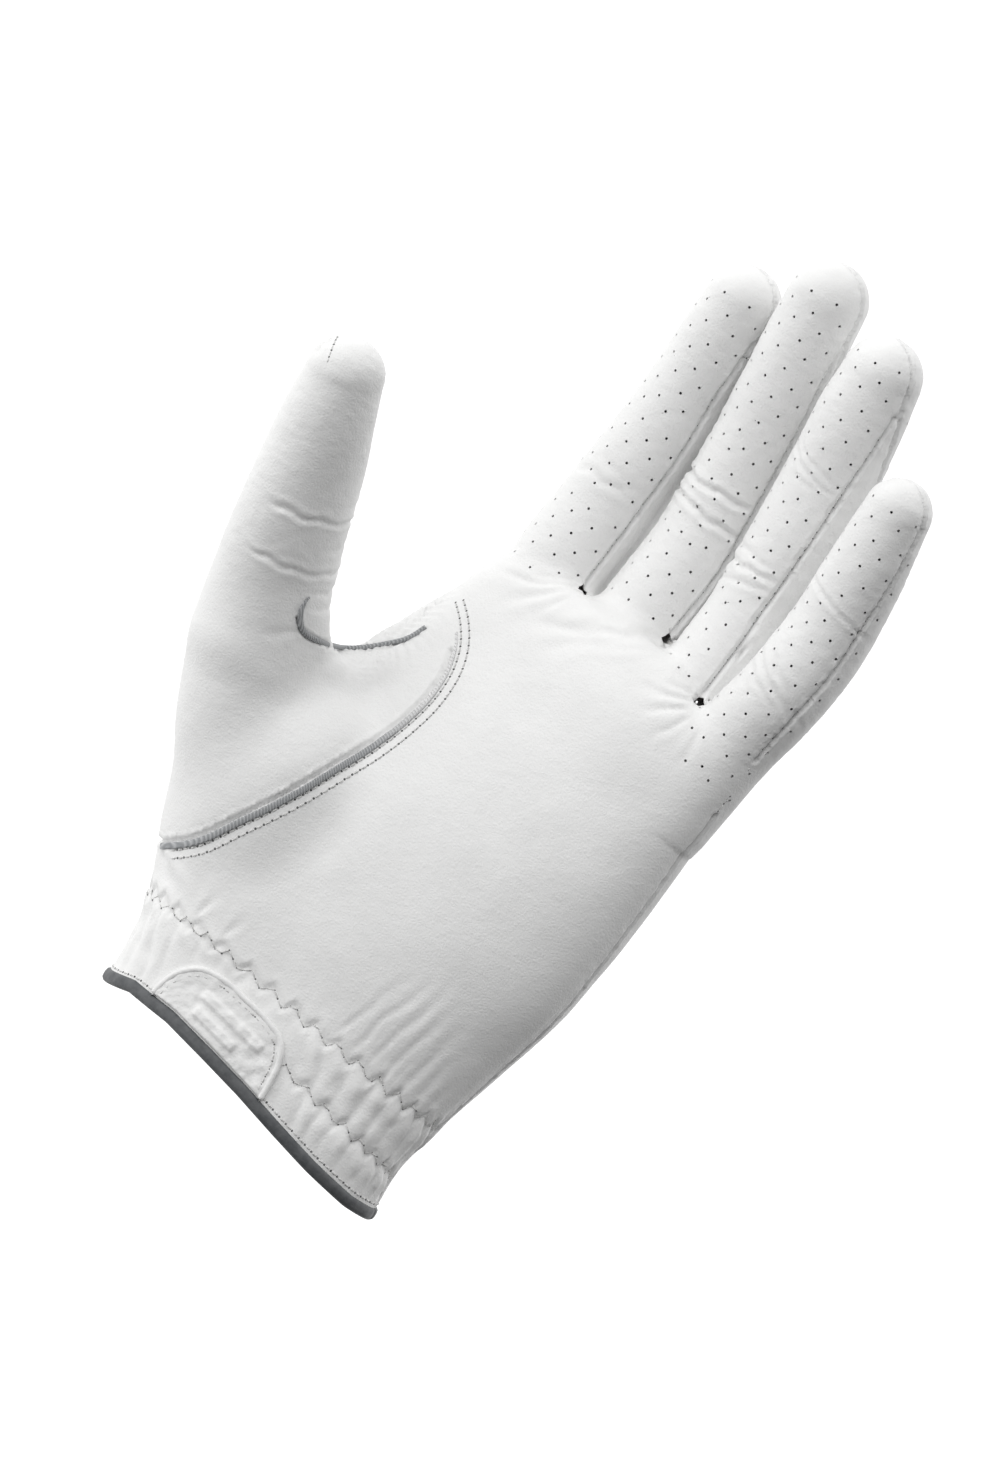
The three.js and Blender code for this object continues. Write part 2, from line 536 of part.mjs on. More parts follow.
const insideLayer = wristLayer(...INSIDE_LAYER);
const band = (left, right, low, high) => [[left, low], [right, low], [right, high], [left, high]];
const elastic = (left, right) => band(left, right, ...ELASTIC_HEIGHTS);
add("palm_elastic", insideLayer.intersect(front(elastic(-30, 28))), "elastic");
add("back_elastic_thumb_side", insideLayer.intersect(back(elastic(-30, -6))), "elastic");
add("back_elastic_little_side", insideLayer.intersect(back(elastic(12, 28))), "elastic");
add("size_label", insideLayer.intersect(back(band(-24, -10, 22, 33))), "elastic");

// The closure: a loop patch on the back, and a tab with its hook patch, hinged where it is sewn on.
// Everything on the tab has the tab's outline, from a left edge on, inset by a margin.
function tabOutline(left, margin) {
  const [low, high] = [TAB.low + margin, TAB.high - margin];
  const right = TAB.end - margin;
  const round = TAB.round - margin;
  const shape = new THREE.Shape();
  shape.moveTo(left, low).lineTo(right - round, low);
  shape.absarc(right - round, low + round, round, -Math.PI / 2, 0);
  shape.absarc(right - round, high - round, round, 0, Math.PI / 2);
  shape.lineTo(left, high);
  const points = shape.getPoints(5);
  const distinct = points.filter((point, i) => i === 0 || point.distanceTo(points[i - 1]) > 0.01);
  return distinct.map((point) => [point.x, point.y]);
}

const emblemOutline = Array.from({ length: EMBLEM.sides }, (_, i) => {
  const angle = (2 * Math.PI * i) / EMBLEM.sides;
  return [EMBLEM.x + EMBLEM.halfWidth * Math.cos(angle), EMBLEM.z + EMBLEM.halfHeight * Math.sin(angle)];
});
const anchorOutline = band(TAB.root, TAB.hinge, TAB.low, TAB.high);
const wristPiece = (layer, outline) => wristLayer(...layer).intersect(back(outline));
add("loop_patch", wristPiece(LOOP_LAYER, tabOutline(9, 2)), "hook");
add("hook_patch", wristPiece(HOOK_LAYER, tabOutline(9, 2)), "hook");
add("tab_lining", wristPiece(LINING_LAYER, tabOutline(TAB.hinge + 2, 0.8)));
add("closure_tab", wristPiece(TAB_LAYER, tabOutline(TAB.hinge + GAP, 0)));
add("tab_anchor", wristPiece([GAP, TAB_LAYER[1]], anchorOutline));
add("tab_emblem", wristPiece(EMBLEM_LAYER, emblemOutline), "grey");

export default glove;
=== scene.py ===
"""A left-hand golf glove in white leather, filled out as by the hand inside it.

Sizes are in millimetres until the meshes are made, in the row frame: +Z to the fingertips, -Y the way the
palm faces, -X the thumb's side, and the origin in the middle of the wrist opening.
"""
import json
import math

import bpy
import numpy as np
from mathutils import Matrix, Vector
from mathutils.kdtree import KDTree


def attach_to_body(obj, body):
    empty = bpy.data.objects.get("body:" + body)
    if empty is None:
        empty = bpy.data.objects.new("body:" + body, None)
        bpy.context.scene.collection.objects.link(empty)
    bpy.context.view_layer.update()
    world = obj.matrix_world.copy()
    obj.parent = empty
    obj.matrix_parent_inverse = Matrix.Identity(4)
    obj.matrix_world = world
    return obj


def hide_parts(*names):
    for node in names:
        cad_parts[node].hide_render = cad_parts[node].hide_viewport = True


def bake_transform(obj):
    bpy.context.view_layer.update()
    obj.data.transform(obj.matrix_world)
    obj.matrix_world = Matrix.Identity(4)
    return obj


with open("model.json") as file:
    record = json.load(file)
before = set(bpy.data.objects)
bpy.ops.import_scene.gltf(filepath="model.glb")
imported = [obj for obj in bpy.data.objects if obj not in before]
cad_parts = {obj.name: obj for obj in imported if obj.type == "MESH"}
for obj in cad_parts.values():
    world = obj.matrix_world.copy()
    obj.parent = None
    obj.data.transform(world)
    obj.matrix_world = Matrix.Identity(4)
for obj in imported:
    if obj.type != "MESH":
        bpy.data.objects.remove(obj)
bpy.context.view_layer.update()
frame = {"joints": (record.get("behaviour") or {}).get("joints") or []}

MM = 0.001
GRID = 1.2  # pitch of the coarse skin, which is halved once
NET_SHRINK = 1.0  # the fingers of the coarse skin are this much thinner, which keeps their gaps open
LEATHER = 0.7  # thickness

# ---- Shape -----------------------------------------------------------------------------------------
# Palm sections: z, left, right, half depth, y, turn in degrees, slant (rise per mm of x), lean (rise per
# mm of y).
PALM = np.array([
    [-10, -35.2, 36.3, 19.2, 0, 2, -0.12, 0.02],
    [0, -35.4, 35.8, 19, 0, 3, -0.12, 0.02],
    [12, -34.8, 34.6, 18, 0, 5, -0.09, 0.01],
    [22, -35.8, 36.2, 17.5, 0, 7, -0.05, 0],
    [36, -40.2, 39.5, 17.5, -0.5, 10, 0, 0],
    [50, -41.5, 42, 17.2, -1, 14, 0, 0],
    [65, -37, 43, 17, -1.5, 18, 0, 0],
    [80, -32, 43.2, 16.5, -1.5, 22, 0, 0],
    [95, -28, 42.6, 15.2, -1.5, 26, 0, 0],
    [109, -25.3, 42.2, 13.6, -1.5, 30, -0.03, 0],
    [117, -24, 43.2, 12, -1.5, 31, -0.06, 0],
    [130, -23, 45, 10.5, -1.5, 31, -0.1, 0],
])
SQUARENESS = 2.3
THENAR_FULLNESS = 15  # how broadly the thumb's mound runs into the palm
PALM_TOP = [(-30, 117), (-12, 120.5), (6, 122.8), (18, 121), (28, 115.5), (50, 108)]  # x, z of the crotches

# Digits, root to tip: x, y, z, half width, half depth.
DIGITS = {
    "index": dict(turn=31, rows=[
        [-11.7, 12, 104, 10, 9.8], [-12.2, 12.5, 124, 10.4, 10], [-12, 12, 140, 10.2, 9.8],
        [-11.8, 10, 155, 9.6, 9.4], [-12.7, 6.5, 170, 8.9, 8.8], [-14.2, 2.2, 182, 8.3, 8.1],
        [-14.8, 0.5, 187.4, 7.9, 7.7]]),
    "middle": dict(turn=31, rows=[
        [8, 4, 104, 9.7, 9.5], [8, 4, 126, 10.2, 9.9], [8.1, 3.5, 140, 10.1, 9.7],
        [6.3, 1.5, 155, 9.7, 9.3], [3.7, -2.5, 171, 9.4, 9], [0.5, -8, 186, 8.8, 8.4],
        [-1.3, -11.5, 196.4, 8.4, 8]]),
    "ring": dict(turn=42, rows=[
        [24, -7, 102, 9.5, 9.3], [25, -7.5, 123, 10, 9.7], [24.6, -8, 138, 9.8, 9.4],
        [22.8, -10.5, 153, 9.8, 9.4], [20.2, -14.5, 169, 9.7, 9.2], [17.8, -19.5, 181, 9.3, 8.8],
        [16, -22.3, 190.2, 8.3, 8]]),
    "little": dict(turn=36, rows=[
        [35, -15, 98, 8, 7.9], [36.2, -18.5, 117.5, 8.9, 8.8], [37.8, -22, 130, 9, 8.7],
        [38, -25, 144, 8.8, 8.4], [36.5, -29, 156.5, 8.2, 7.8], [35, -32, 165.5, 7.5, 7.1],
        [34.3, -33.5, 170, 7, 6.7]]),
    "thumb": dict(turn=-50, rows=[
        [-24, 0, 24, 10, 10], [-34, 0, 42, 11, 11.5], [-46, -1.8, 62, 13, 12.3],
        [-54.2, -5, 80, 13, 12.3], [-59.6, -12.5, 97, 12.3, 11], [-63.4, -18.5, 110, 11, 10],
        [-66.6, -24, 121, 9.1, 8.9], [-68.2, -26.5, 127, 8, 7.8]]),
}
FINGERS = ["index", "middle", "ring", "little"]

# The web between thumb and index finger, as upright sections: x, y, top.
WEB = [[-54, -8, 86], [-47.3, -4, 86.5], [-44, -1.5, 84], [-40, 1, 82.2], [-37.5, 2.9, 82],
       [-35, 4.8, 83.8], [-33, 6.2, 86.2], [-31, 7.5, 89.4], [-28.4, 9.5, 95.6], [-25, 11.5, 105],
       [-20, 13, 110]]
WEB_HALF = 7.0
WEB_BOTTOM = 68

# The muscle at the thumb's base: its middle, and its half sizes.
MOUND_AT = np.array([-30.5, -1, 54])
MOUND_SIZE = np.array([14, 14.5, 22])

# Seams seen from the front: x, z.
THUMB_SEAM = [[-42.5, 31.6], [-38, 36], [-33, 45], [-28, 55], [-24, 65], [-21, 72.5], [-19, 80],
              [-18, 87], [-18.5, 93], [-20.5, 98], [-23, 101.2], [-26.5, 104]]
THUMB_SEAM_BACK = [[-42.5, 31.6], [-40.2, 42], [-40, 55], [-39.5, 68], [-38, 84], [-34, 92]]
WEB_SEAM = [[-47.5, 92], [-47.5, 84.5], [-45.3, 82.1], [-41, 82.4], [-36, 85], [-31, 89.8],
            [-27.6, 94], [-26.2, 98], [-24.6, 100]]
WEB_SEAM_BACK = [[-46.5, 95], [-48, 88], [-46.5, 81], [-43, 77.5], [-38, 77.5], [-33, 81], [-29.5, 86],
                 [-27.5, 92], [-25.5, 99], [-25.2, 104]]
CROTCHES = [(-5.8, 124), (13.6, 126), (26.2, 119.5)]  # x, z of the corners between the fingers
SLIT_X, SLIT_HALF, SLIT_TOP = 3, 3.4, 42  # the slit in the back: middle, half width and height
TIP_STITCHES = [[-71.9, 126.4], [-73.6, 132]]

# Joints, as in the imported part.
KNUCKLE_UP = np.array([0.235, 0, 0.972])
KNUCKLE_ZONE = (93, 114.4)
THUMB_ALONG = np.array([-0.4, 0, 0.9165])
THUMB_ZONE = (100.5, 122.5)
CURLS = {"index": (150, 10), "middle": (152, 10), "ring": (147, 10), "little": (141, 9.5)}


def smoothstep(low, high, value):
    t = np.clip((value - low) / (high - low), 0, 1)
    return t * t * (3 - 2 * t)


def spline(knots, rows, at):
    """Smooth curve through the rows, which belong to the knots, at the places asked for."""
    knots = np.asarray(knots, float)
    rows = np.asarray(rows, float)
    slopes = np.gradient(rows, knots, axis=0)
    k = np.clip(np.searchsorted(knots, at, side="right") - 1, 0, len(knots) - 2)
    span = knots[k + 1] - knots[k]
    t = np.clip((at - knots[k]) / span, 0, 1)
    if rows.ndim > 1:
        t, span = t[:, None], span[:, None]
    h00 = 2 * t ** 3 - 3 * t ** 2 + 1
    h10 = t ** 3 - 2 * t ** 2 + t
    h01 = 3 * t ** 2 - 2 * t ** 3
    h11 = t ** 3 - t ** 2
    return h00 * rows[k] + h10 * span * slopes[k] + h01 * rows[k + 1] + h11 * span * slopes[k + 1]


def unit(rows):
    return rows / np.maximum(np.linalg.norm(rows, axis=-1, keepdims=True), 1e-9)


def rows_dot(a, b):
    return np.einsum("ij,ij->i", a, b)


def nearest(points, samples):
    """For each point the nearest sample's number."""
    best = np.empty(len(points), int)
    norms = (samples ** 2).sum(1)
    for i in range(0, len(points), 50000):
        part = points[i:i + 50000]
        best[i:i + 50000] = np.argmin(norms - 2 * part @ samples.T, axis=1)
    return best


class Digit:
    """A round limb along a smooth axis: its own coordinates for points in space, and its distance."""

    STEP = 1.2

    def __init__(self, rows, turn):
        rows = np.array(rows, float)
        knots = np.r_[0, np.cumsum(np.linalg.norm(np.diff(rows[:, :3], axis=0), axis=1))]
        self.length = knots[-1]
        self.at = np.linspace(0, self.length, int(self.length / self.STEP) + 1)
        self.step = self.at[1]
        table = spline(knots, rows, self.at)
        self.point = table[:, :3]
        self.size = table[:, 3:]
        self.along = unit(np.gradient(self.point, axis=0))
        angle = math.radians(turn)
        forward = np.array([-math.sin(angle), -math.cos(angle), 0])
        self.forward = unit(forward - (self.along @ forward)[:, None] * self.along)
        self.across = np.cross(self.along, self.forward)

    def locate(self, points):
        """Across, forward and past-the-tip offsets, half width and depth there, and the way along."""
        k = nearest(points, self.point)
        t = rows_dot(points - self.point[k], self.along[k])
        j = np.clip(k + np.where(t > 0, 1, -1), 0, len(self.at) - 1)
        share = np.where(j == k, 0, np.clip(np.abs(t) / self.step, 0, 1))[:, None]
        mix = lambda rows: rows[k] * (1 - share) + rows[j] * share
        rel = points - mix(self.point)
        along, across, forward = unit(mix(self.along)), unit(mix(self.across)), unit(mix(self.forward))
        u, v, w = rows_dot(rel, across), rows_dot(rel, forward), rows_dot(rel, along)
        size = mix(self.size)
        s = self.at[k] + np.where(j == k, 0, t)
        return u, v, w, size[:, 0], size[:, 1], s

    def distance(self, points):
        u, v, w, a, b, _ = self.locate(points)
        k = np.sqrt((u / a) ** 2 + (v / b) ** 2 + (w / a) ** 2)
        far = np.sqrt(u * u + v * v + w * w)
        return np.where(far > 1e-6, far - far / np.maximum(k, 1e-9), -b)

    def angle(self, points):
        """Degrees round the digit, 0 on the palm's side and positive towards the little finger."""
        u, v, _, a, b, s = self.locate(points)
        return np.degrees(np.arctan2(u / a, v / b)), s, a

    def spot(self, s, degrees):
        """A point inside and a way out, at a length along and an angle round."""
        k = np.clip(np.round(s / self.step).astype(int), 0, len(self.at) - 1)
        turn = np.radians(degrees)
        way = self.across[k] * np.sin(turn)[:, None] + self.forward[k] * np.cos(turn)[:, None]
        return self.point[k] + self.along[k] * (s - self.at[k])[:, None], way

    def s_at(self, z):
        """The length along where the axis reaches a height."""
        return np.interp(z, self.point[:, 2], self.at)


digits = {name: Digit(**d) for name, d in DIGITS.items()}


class Line:
    """A smooth line in the front view: signed distance (positive to its left) and length along."""

    def __init__(self, points, before=None, after=None, step=0.8):
        points = np.array(points, float)
        knots = np.r_[0, np.cumsum(np.linalg.norm(np.diff(points, axis=0), axis=1))]
        at = np.linspace(0, knots[-1], int(knots[-1] / step) + 1)
        self.points = spline(knots, points, at)
        self.length = knots[-1]
        self.start = 0.0
        path = self.points
        if before is not None:
            path = np.vstack([np.linspace(before, path[0], 40)[:-1], path])
            self.start = float(np.linalg.norm(np.array(before) - self.points[0]))
        if after is not None:
            path = np.vstack([path, np.linspace(path[-1], after, 40)[1:]])
        self.path = path
        self.along = np.r_[0, np.cumsum(np.linalg.norm(np.diff(path, axis=0), axis=1))] - self.start
        self.way = unit(np.gradient(path, axis=0))

    def locate(self, x, z):
        points = np.stack([x, z], 1)
        k = nearest(points, self.path)
        rel = points - self.path[k]
        way = self.way[k]
        side = way[:, 0] * rel[:, 1] - way[:, 1] * rel[:, 0]
        t = rows_dot(rel, way)
        inner = (k > 0) & (k < len(self.path) - 1)
        far = np.where(inner, np.abs(side), np.hypot(side, t))
        return np.sign(side) * far, self.along[k] + t


thumb_seam = Line(THUMB_SEAM, before=(-70, 26), after=(-50, 125))
thumb_seam_back = Line(THUMB_SEAM_BACK, before=(-70, 28), after=(-30, 130))
web_seam = Line(WEB_SEAM, before=(-52, 125), after=(-19, 125))
web_back = Line(WEB_SEAM_BACK, before=(-40, 125), after=(-27, 125))
SPLIT_WAY = unit(np.array([-0.75, 0.66, 0]))
SPLIT_AT = float(SPLIT_WAY @ np.array([-72.8, -27, 0]))
THUMB_TIP_SEAM = 127.5  # the seam over the thumb's tip is marked above this height


def palm_coordinates(points):
    """Across and forward offsets in the palm, half width and depth there, and the height above the cuff."""
    x, y, z = points.T
    first = spline(PALM[:, 0], PALM[:, 1:], z)
    centre = (first[:, 0] + first[:, 1]) / 2
    height = z - first[:, 5] * (x - centre) - first[:, 6] * (y - first[:, 3])
    section = spline(PALM[:, 0], PALM[:, 1:], height)
    turn = np.radians(section[:, 4])
    half = (section[:, 1] - section[:, 0]) / 2
    depth = section[:, 2]
    width = np.sqrt(half ** 2 - (depth * np.sin(turn)) ** 2) / np.cos(turn)
    dx = x - (section[:, 0] + section[:, 1]) / 2
    dy = y - section[:, 3]
    u = dx * np.cos(turn) - dy * np.sin(turn)
    v = -dx * np.sin(turn) - dy * np.cos(turn)
    return u, v, width, depth, height


def soft_min(a, b, k):
    h = np.clip(0.5 + 0.5 * (b - a) / k, 0, 1)
    return b * (1 - h) + a * h - k * h * (1 - h)


def crotch_height(x):
    return np.interp(x, *zip(*PALM_TOP))


def palm_distance(points):
    u, v, a, b, height = palm_coordinates(points)
    k = (np.abs(u / a) ** SQUARENESS + np.abs(v / b) ** SQUARENESS) ** (1 / SQUARENESS)
    far = np.hypot(u, v)
    tube = np.where(far > 1e-6, far - far / np.maximum(k, 1e-9), -b)
    top = points[:, 2] - crotch_height(points[:, 0])
    return -soft_min(-tube, -top, 7)


def web_distance(points):
    rows = np.array(WEB, float)
    knots = np.r_[0, np.cumsum(np.linalg.norm(np.diff(rows[:, :2], axis=0), axis=1))]
    dense = spline(knots, rows, np.linspace(0, knots[-1], 60))
    k = nearest(points[:, :2], dense[:, :2])
    way = unit(np.gradient(dense[:, :2], axis=0))[k]
    rel = points[:, :2] - dense[k, :2]
    beyond = np.where((k == 0) | (k == len(dense) - 1), np.abs(rows_dot(rel, way)), 0)
    off = np.hypot(way[:, 0] * rel[:, 1] - way[:, 1] * rel[:, 0], beyond)
    z = points[:, 2]
    rise = np.maximum(z - dense[k, 2] + WEB_HALF * 0.6, WEB_BOTTOM + WEB_HALF * 0.6 - z)
    q = np.stack([off - WEB_HALF * 0.4, rise])
    outside = np.linalg.norm(np.maximum(q, 0), axis=0)
    return outside + np.minimum(q.max(0), 0) - WEB_HALF * 0.6


def mound_distance(points):
    """The muscle at the thumb's base, which fills the leather between thumb and palm."""
    rel = points - MOUND_AT
    far = np.linalg.norm(rel, axis=1)
    k = np.linalg.norm(rel / MOUND_SIZE, axis=1)
    return far - far / np.maximum(k, 1e-6)


def finger_distances(points):
    return np.stack([digits[name].distance(points) for name in FINGERS])


def owners(points):
    """Which finger each point belongs to; points off the fingers get the nearest one too."""
    return np.argmin(finger_distances(points), axis=0)


def skin_distance(points, shrink=0.0):
    """Signed distance, near enough, to the smooth outside of the glove.

    Above the crotches a point only sees its own finger, so touching fingers stay apart. The net is made
    with the fingers shrunk a little, to keep open the narrow gaps between them.
    """
    trunk = soft_min(palm_distance(points), digits["thumb"].distance(points), THENAR_FULLNESS)
    trunk = soft_min(trunk, mound_distance(points), 8)
    low = points[:, 2] < 118
    trunk[low] = soft_min(trunk[low], web_distance(points[low]), 6)
    near = (points[:, 2] > 92) & (points[:, 0] > -32)
    if near.any():
        part = points[near]
        base = trunk[near]
        far = finger_distances(part)
        above = part[:, 2] - crotch_height(part[:, 0])
        own = np.argmin(far, axis=0)
        other = np.arange(len(FINGERS))[:, None] != own
        far = far + other * 3 * smoothstep(0, 4, above) + shrink * smoothstep(-8, 0, above)
        trunk[near] = np.min([soft_min(base, d, 4) for d in far], axis=0)
    return trunk


def gradient(field, points, step=0.05):
    """Central differences of a field, or of a stack of fields."""
    columns = []
    for axis in np.eye(3):
        columns.append((field(points + axis * step) - field(points - axis * step)) / (2 * step))
    return np.stack(columns, -1)


# ---- The coarse skin -------------------------------------------------------------------------------
def surface_net(low, high, pitch):
    """A quad mesh on the skin, one vertex in each cell that the skin crosses."""
    axes = [np.arange(l, h + pitch, pitch) for l, h in zip(low, high)]
    shape = tuple(len(a) for a in axes)
    points = np.stack(np.meshgrid(*axes, indexing="ij"), -1).reshape(-1, 3)
    parts = [points[i:i + 200000] for i in range(0, len(points), 200000)]
    value = np.concatenate([skin_distance(part, NET_SHRINK) for part in parts])
    value = value.reshape(shape)
    inside = value < 0
    cells = tuple(n - 1 for n in shape)
    total = np.zeros(cells + (3,))
    count = np.zeros(cells)
    corners = [np.array([i, j, k]) for i in (0, 1) for j in (0, 1) for k in (0, 1)]
    take = lambda field, c: field[c[0]:c[0] + cells[0], c[1]:c[1] + cells[1], c[2]:c[2] + cells[2]]
    for a in corners:
        for axis in range(3):
            if a[axis]:
                continue
            b = a.copy()
            b[axis] = 1
            va, vb = take(value, a), take(value, b)
            crossing = (va < 0) != (vb < 0)
            t = np.where(crossing, va / np.where(crossing, va - vb, 1), 0)
            for d in range(3):
                total[..., d] += np.where(crossing, a[d] + (t if d == axis else 0), 0)
            count += crossing
    used = count > 0
    number = np.full(cells, -1)
    number[used] = np.arange(used.sum())
    where = np.stack(np.nonzero(used), 1)
    verts = (where + total[used] / count[used][:, None]) * pitch + np.array(low)
    faces = []
    for axis in range(3):
        e = np.eye(3, dtype=int)[axis]
        first = inside[:shape[0] - e[0], :shape[1] - e[1], :shape[2] - e[2]]
        second = inside[e[0]:, e[1]:, e[2]:]
        change = first != second
        at = np.stack(np.nonzero(change), 1)
        o1, o2 = np.eye(3, dtype=int)[(axis + 1) % 3], np.eye(3, dtype=int)[(axis + 2) % 3]
        for other in ((axis + 1) % 3, (axis + 2) % 3):
            at = at[(at[:, other] > 0) & (at[:, other] < cells[other])]
        ring = [at, at - o1, at - o1 - o2, at - o2]
        quad = np.stack([number[tuple(r.T)] for r in ring], 1)
        out = first[tuple(at.T)]
        quad[~out] = quad[~out][:, ::-1]
        faces.append(quad)
    return verts, np.concatenate(faces)


def project(points, times=1):
    """Points moved onto the skin along its gradient."""
    for _ in range(times):
        slope = gradient(skin_distance, points, 0.1)
        size = np.maximum(rows_dot(slope, slope), 0.2)
        points = points - slope * np.clip(skin_distance(points) / size, -2, 2)[:, None]
    return points


def edges_of(faces):
    """Unique edges, and each face's edges in order."""
    pairs = np.stack([faces, np.roll(faces, -1, axis=1)], -1).reshape(-1, 2)
    ordered = np.sort(pairs, axis=1)
    keys = ordered[:, 0] * (faces.max() + 1) + ordered[:, 1]
    _, index, inverse = np.unique(keys, return_index=True, return_inverse=True)
    return ordered[index], inverse.reshape(faces.shape)


def relax(verts, faces, times):
    edges, _ = edges_of(faces)
    for _ in range(times):
        total = np.zeros_like(verts)
        np.add.at(total, edges[:, 0], verts[edges[:, 1]])
        np.add.at(total, edges[:, 1], verts[edges[:, 0]])
        count = np.bincount(edges.ravel(), minlength=len(verts))
        verts = verts + 0.5 * (total / count[:, None] - verts)
    return verts


def halve(verts, faces):
    """Each quad as four."""
    edges, per_face = edges_of(faces)
    n, m = len(verts), len(edges)
    middles = verts[edges].mean(1)
    centres = verts[faces].mean(1)
    all_verts = np.vstack([verts, middles, centres])
    e = per_face + n
    c = np.arange(len(faces)) + n + m
    parts = [np.stack([faces[:, i], e[:, i], c, e[:, (i + 3) % 4]], 1) for i in range(4)]
    return all_verts, np.concatenate(parts)


def face_normals(verts, faces):
    a, b = verts[faces[:, 2]] - verts[faces[:, 0]], verts[faces[:, -1]] - verts[faces[:, 1]]
    return np.cross(a, b)


def vertex_normals(verts, face_sets):
    total = np.zeros_like(verts)
    for faces in face_sets:
        if len(faces) == 0:
            continue
        normal = face_normals(verts, faces)
        for i in range(faces.shape[1]):
            np.add.at(total, faces[:, i], normal)
    return unit(total)


# ---- Panels -----------------------------------------------------------------------------------------
JOINTS = {joint["name"]: joint for joint in frame["joints"]}


def pivot(joint):
    return np.array(JOINTS[joint]["pos_m"]) / MM


class Skin:
    """The skin's points and faces, and the panel that each face belongs to."""

    def __init__(self, verts, faces):
        self.verts = verts
        self.faces = faces
        self.on_seam = np.zeros(len(verts), bool)

    def centres(self, mask=slice(None)):
        return self.verts[self.faces[mask]].mean(1)

    def keep(self, mask):
        self.faces = self.faces[mask]

    def divide(self, field, domain=None, seam=False, marked=None):
        """True for faces where the field is positive, with the points between moved onto its zero line."""
        if domain is None:
            domain = np.ones(len(self.faces), bool)
        positive = np.zeros(len(self.faces), bool)
        if not domain.any():
            return positive
        positive[domain] = field(self.centres(domain)) > 0
        above = np.zeros(len(self.verts), bool)
        below = np.zeros(len(self.verts), bool)
        above[self.faces[domain & positive]] = True
        below[self.faces[domain & ~positive]] = True
        border = np.nonzero(above & below)[0]
        if len(border) == 0:
            return positive
        points = self.verts[border]
        out = unit(gradient(skin_distance, points, 0.1))
        for _ in range(2):
            value = field(points)
            slope = gradient(field, points)
            slope = slope - out * rows_dot(out, slope)[:, None]
            size = np.maximum(rows_dot(slope, slope), 0.05)
            step = slope * (value / size)[:, None]
            length = np.linalg.norm(step, axis=1)
            step *= np.minimum(1, 0.4 * GRID / np.maximum(length, 1e-9))[:, None]
            points = points - step
        self.verts[border] = project(points)
        if seam:
            self.on_seam[border] = marked(self.verts[border]) if marked else True
        return positive


def build_skin():
    verts, quads = surface_net(NET_LOW, NET_HIGH, GRID)
    verts = project(verts, 2)
    verts = project(relax(verts, quads, 3))
    verts, quads = halve(verts, quads)
    return Skin(project(verts), quads)


NET_LOW = (-80, -46, -6)
NET_HIGH = (52, 28, 210)
SIDE_SEAM = 2.0  # how far in front of the little finger's side the front and back panels meet


# How the cuff's front edge rises and falls about a straight line: x, rise.
CUFF_WAVE = [(-38, -1.6), (-35, -1.2), (-30, 1.3), (-20, 2.5), (-10, 2.3), (0, 1.9), (10, 1.1), (20, 0.4),
             (30, 0.2), (36, 0.8)]


def cuff_field(points):
    """Height above the cuff's edge."""
    height = palm_coordinates(points)[4]
    return height - np.interp(points[:, 0], *zip(*CUFF_WAVE))


def side_field(points):
    u, v = palm_coordinates(points)[:2]
    return v - SIDE_SEAM * smoothstep(-10, 10, u)


def slit_field(points):
    x, z = points[:, 0] - SLIT_X, points[:, 2] - (SLIT_TOP - SLIT_HALF)
    return np.hypot(x, np.maximum(z, 0)) - SLIT_HALF


def line_field(line):
    return lambda points: line.locate(points[:, 0], points[:, 2])[0]


def plane_field(way, at):
    return lambda points: points @ way - at


# Where each finger's front seam runs: height, degrees round from the palm's side.
SEAM_ANGLES = {
    "index": [(120, 67), (172, 67), (182, 80), (190, 90)],
    "middle": [(120, 64), (150, 68), (170, 73), (182, 78), (192, 85), (198, 90)],
    "ring": [(110, 44), (140, 45), (160, 57), (170, 65), (180, 77), (190, 90)],
    "little": [(100, 66), (150, 68), (160, 78), (168, 90)],
}
STRIP_SIDES = {"index": [1], "middle": [-1, 1], "ring": [-1, 1], "little": [-1]}
INNER_ANGLE = 72  # the front seam on the thumb's side of a finger, which hardly shows
LITTLE_SIDE = [(100, 88), (115, 76), (130, 70), (150, 72), (162, 82), (170, 90), (174, 90)]
STRIP_END = 5.0  # how far short of the last row of a digit a side strip ends


def seam_angle(name, side, s):
    digit = digits[name]
    heights = np.interp(s, digit.at, digit.point[:, 2])
    angles = np.interp(heights, *zip(*SEAM_ANGLES[name]))
    if side < 0 and name in ("middle", "ring"):
        angles = np.maximum(angles, INNER_ANGLE)
    return angles


def strip_edge(name, side, back):
    """Distance round the finger past the side strip's front or back edge, positive on the strip."""
    digit = digits[name]

    def field(points):
        angle, s, a = digit.angle(points)
        edge = seam_angle(name, side, s)
        turn = angle * side
        past = (180 - edge) - turn if back else turn - edge
        return np.radians(past) * a
    return field


def halves(name):
    """Positive on the palm's half of a finger."""
    digit = digits[name]

    def field(points):
        u, v, _, a, b, s = digit.locate(points)
        if name != "little":
            return v
        heights = np.interp(s, digit.at, digit.point[:, 2])
        side = np.radians(np.interp(heights, *zip(*LITTLE_SIDE)))
        lower = np.where(u > 0, v * np.sin(side) - u * np.cos(side), v)
        return lower
    return field


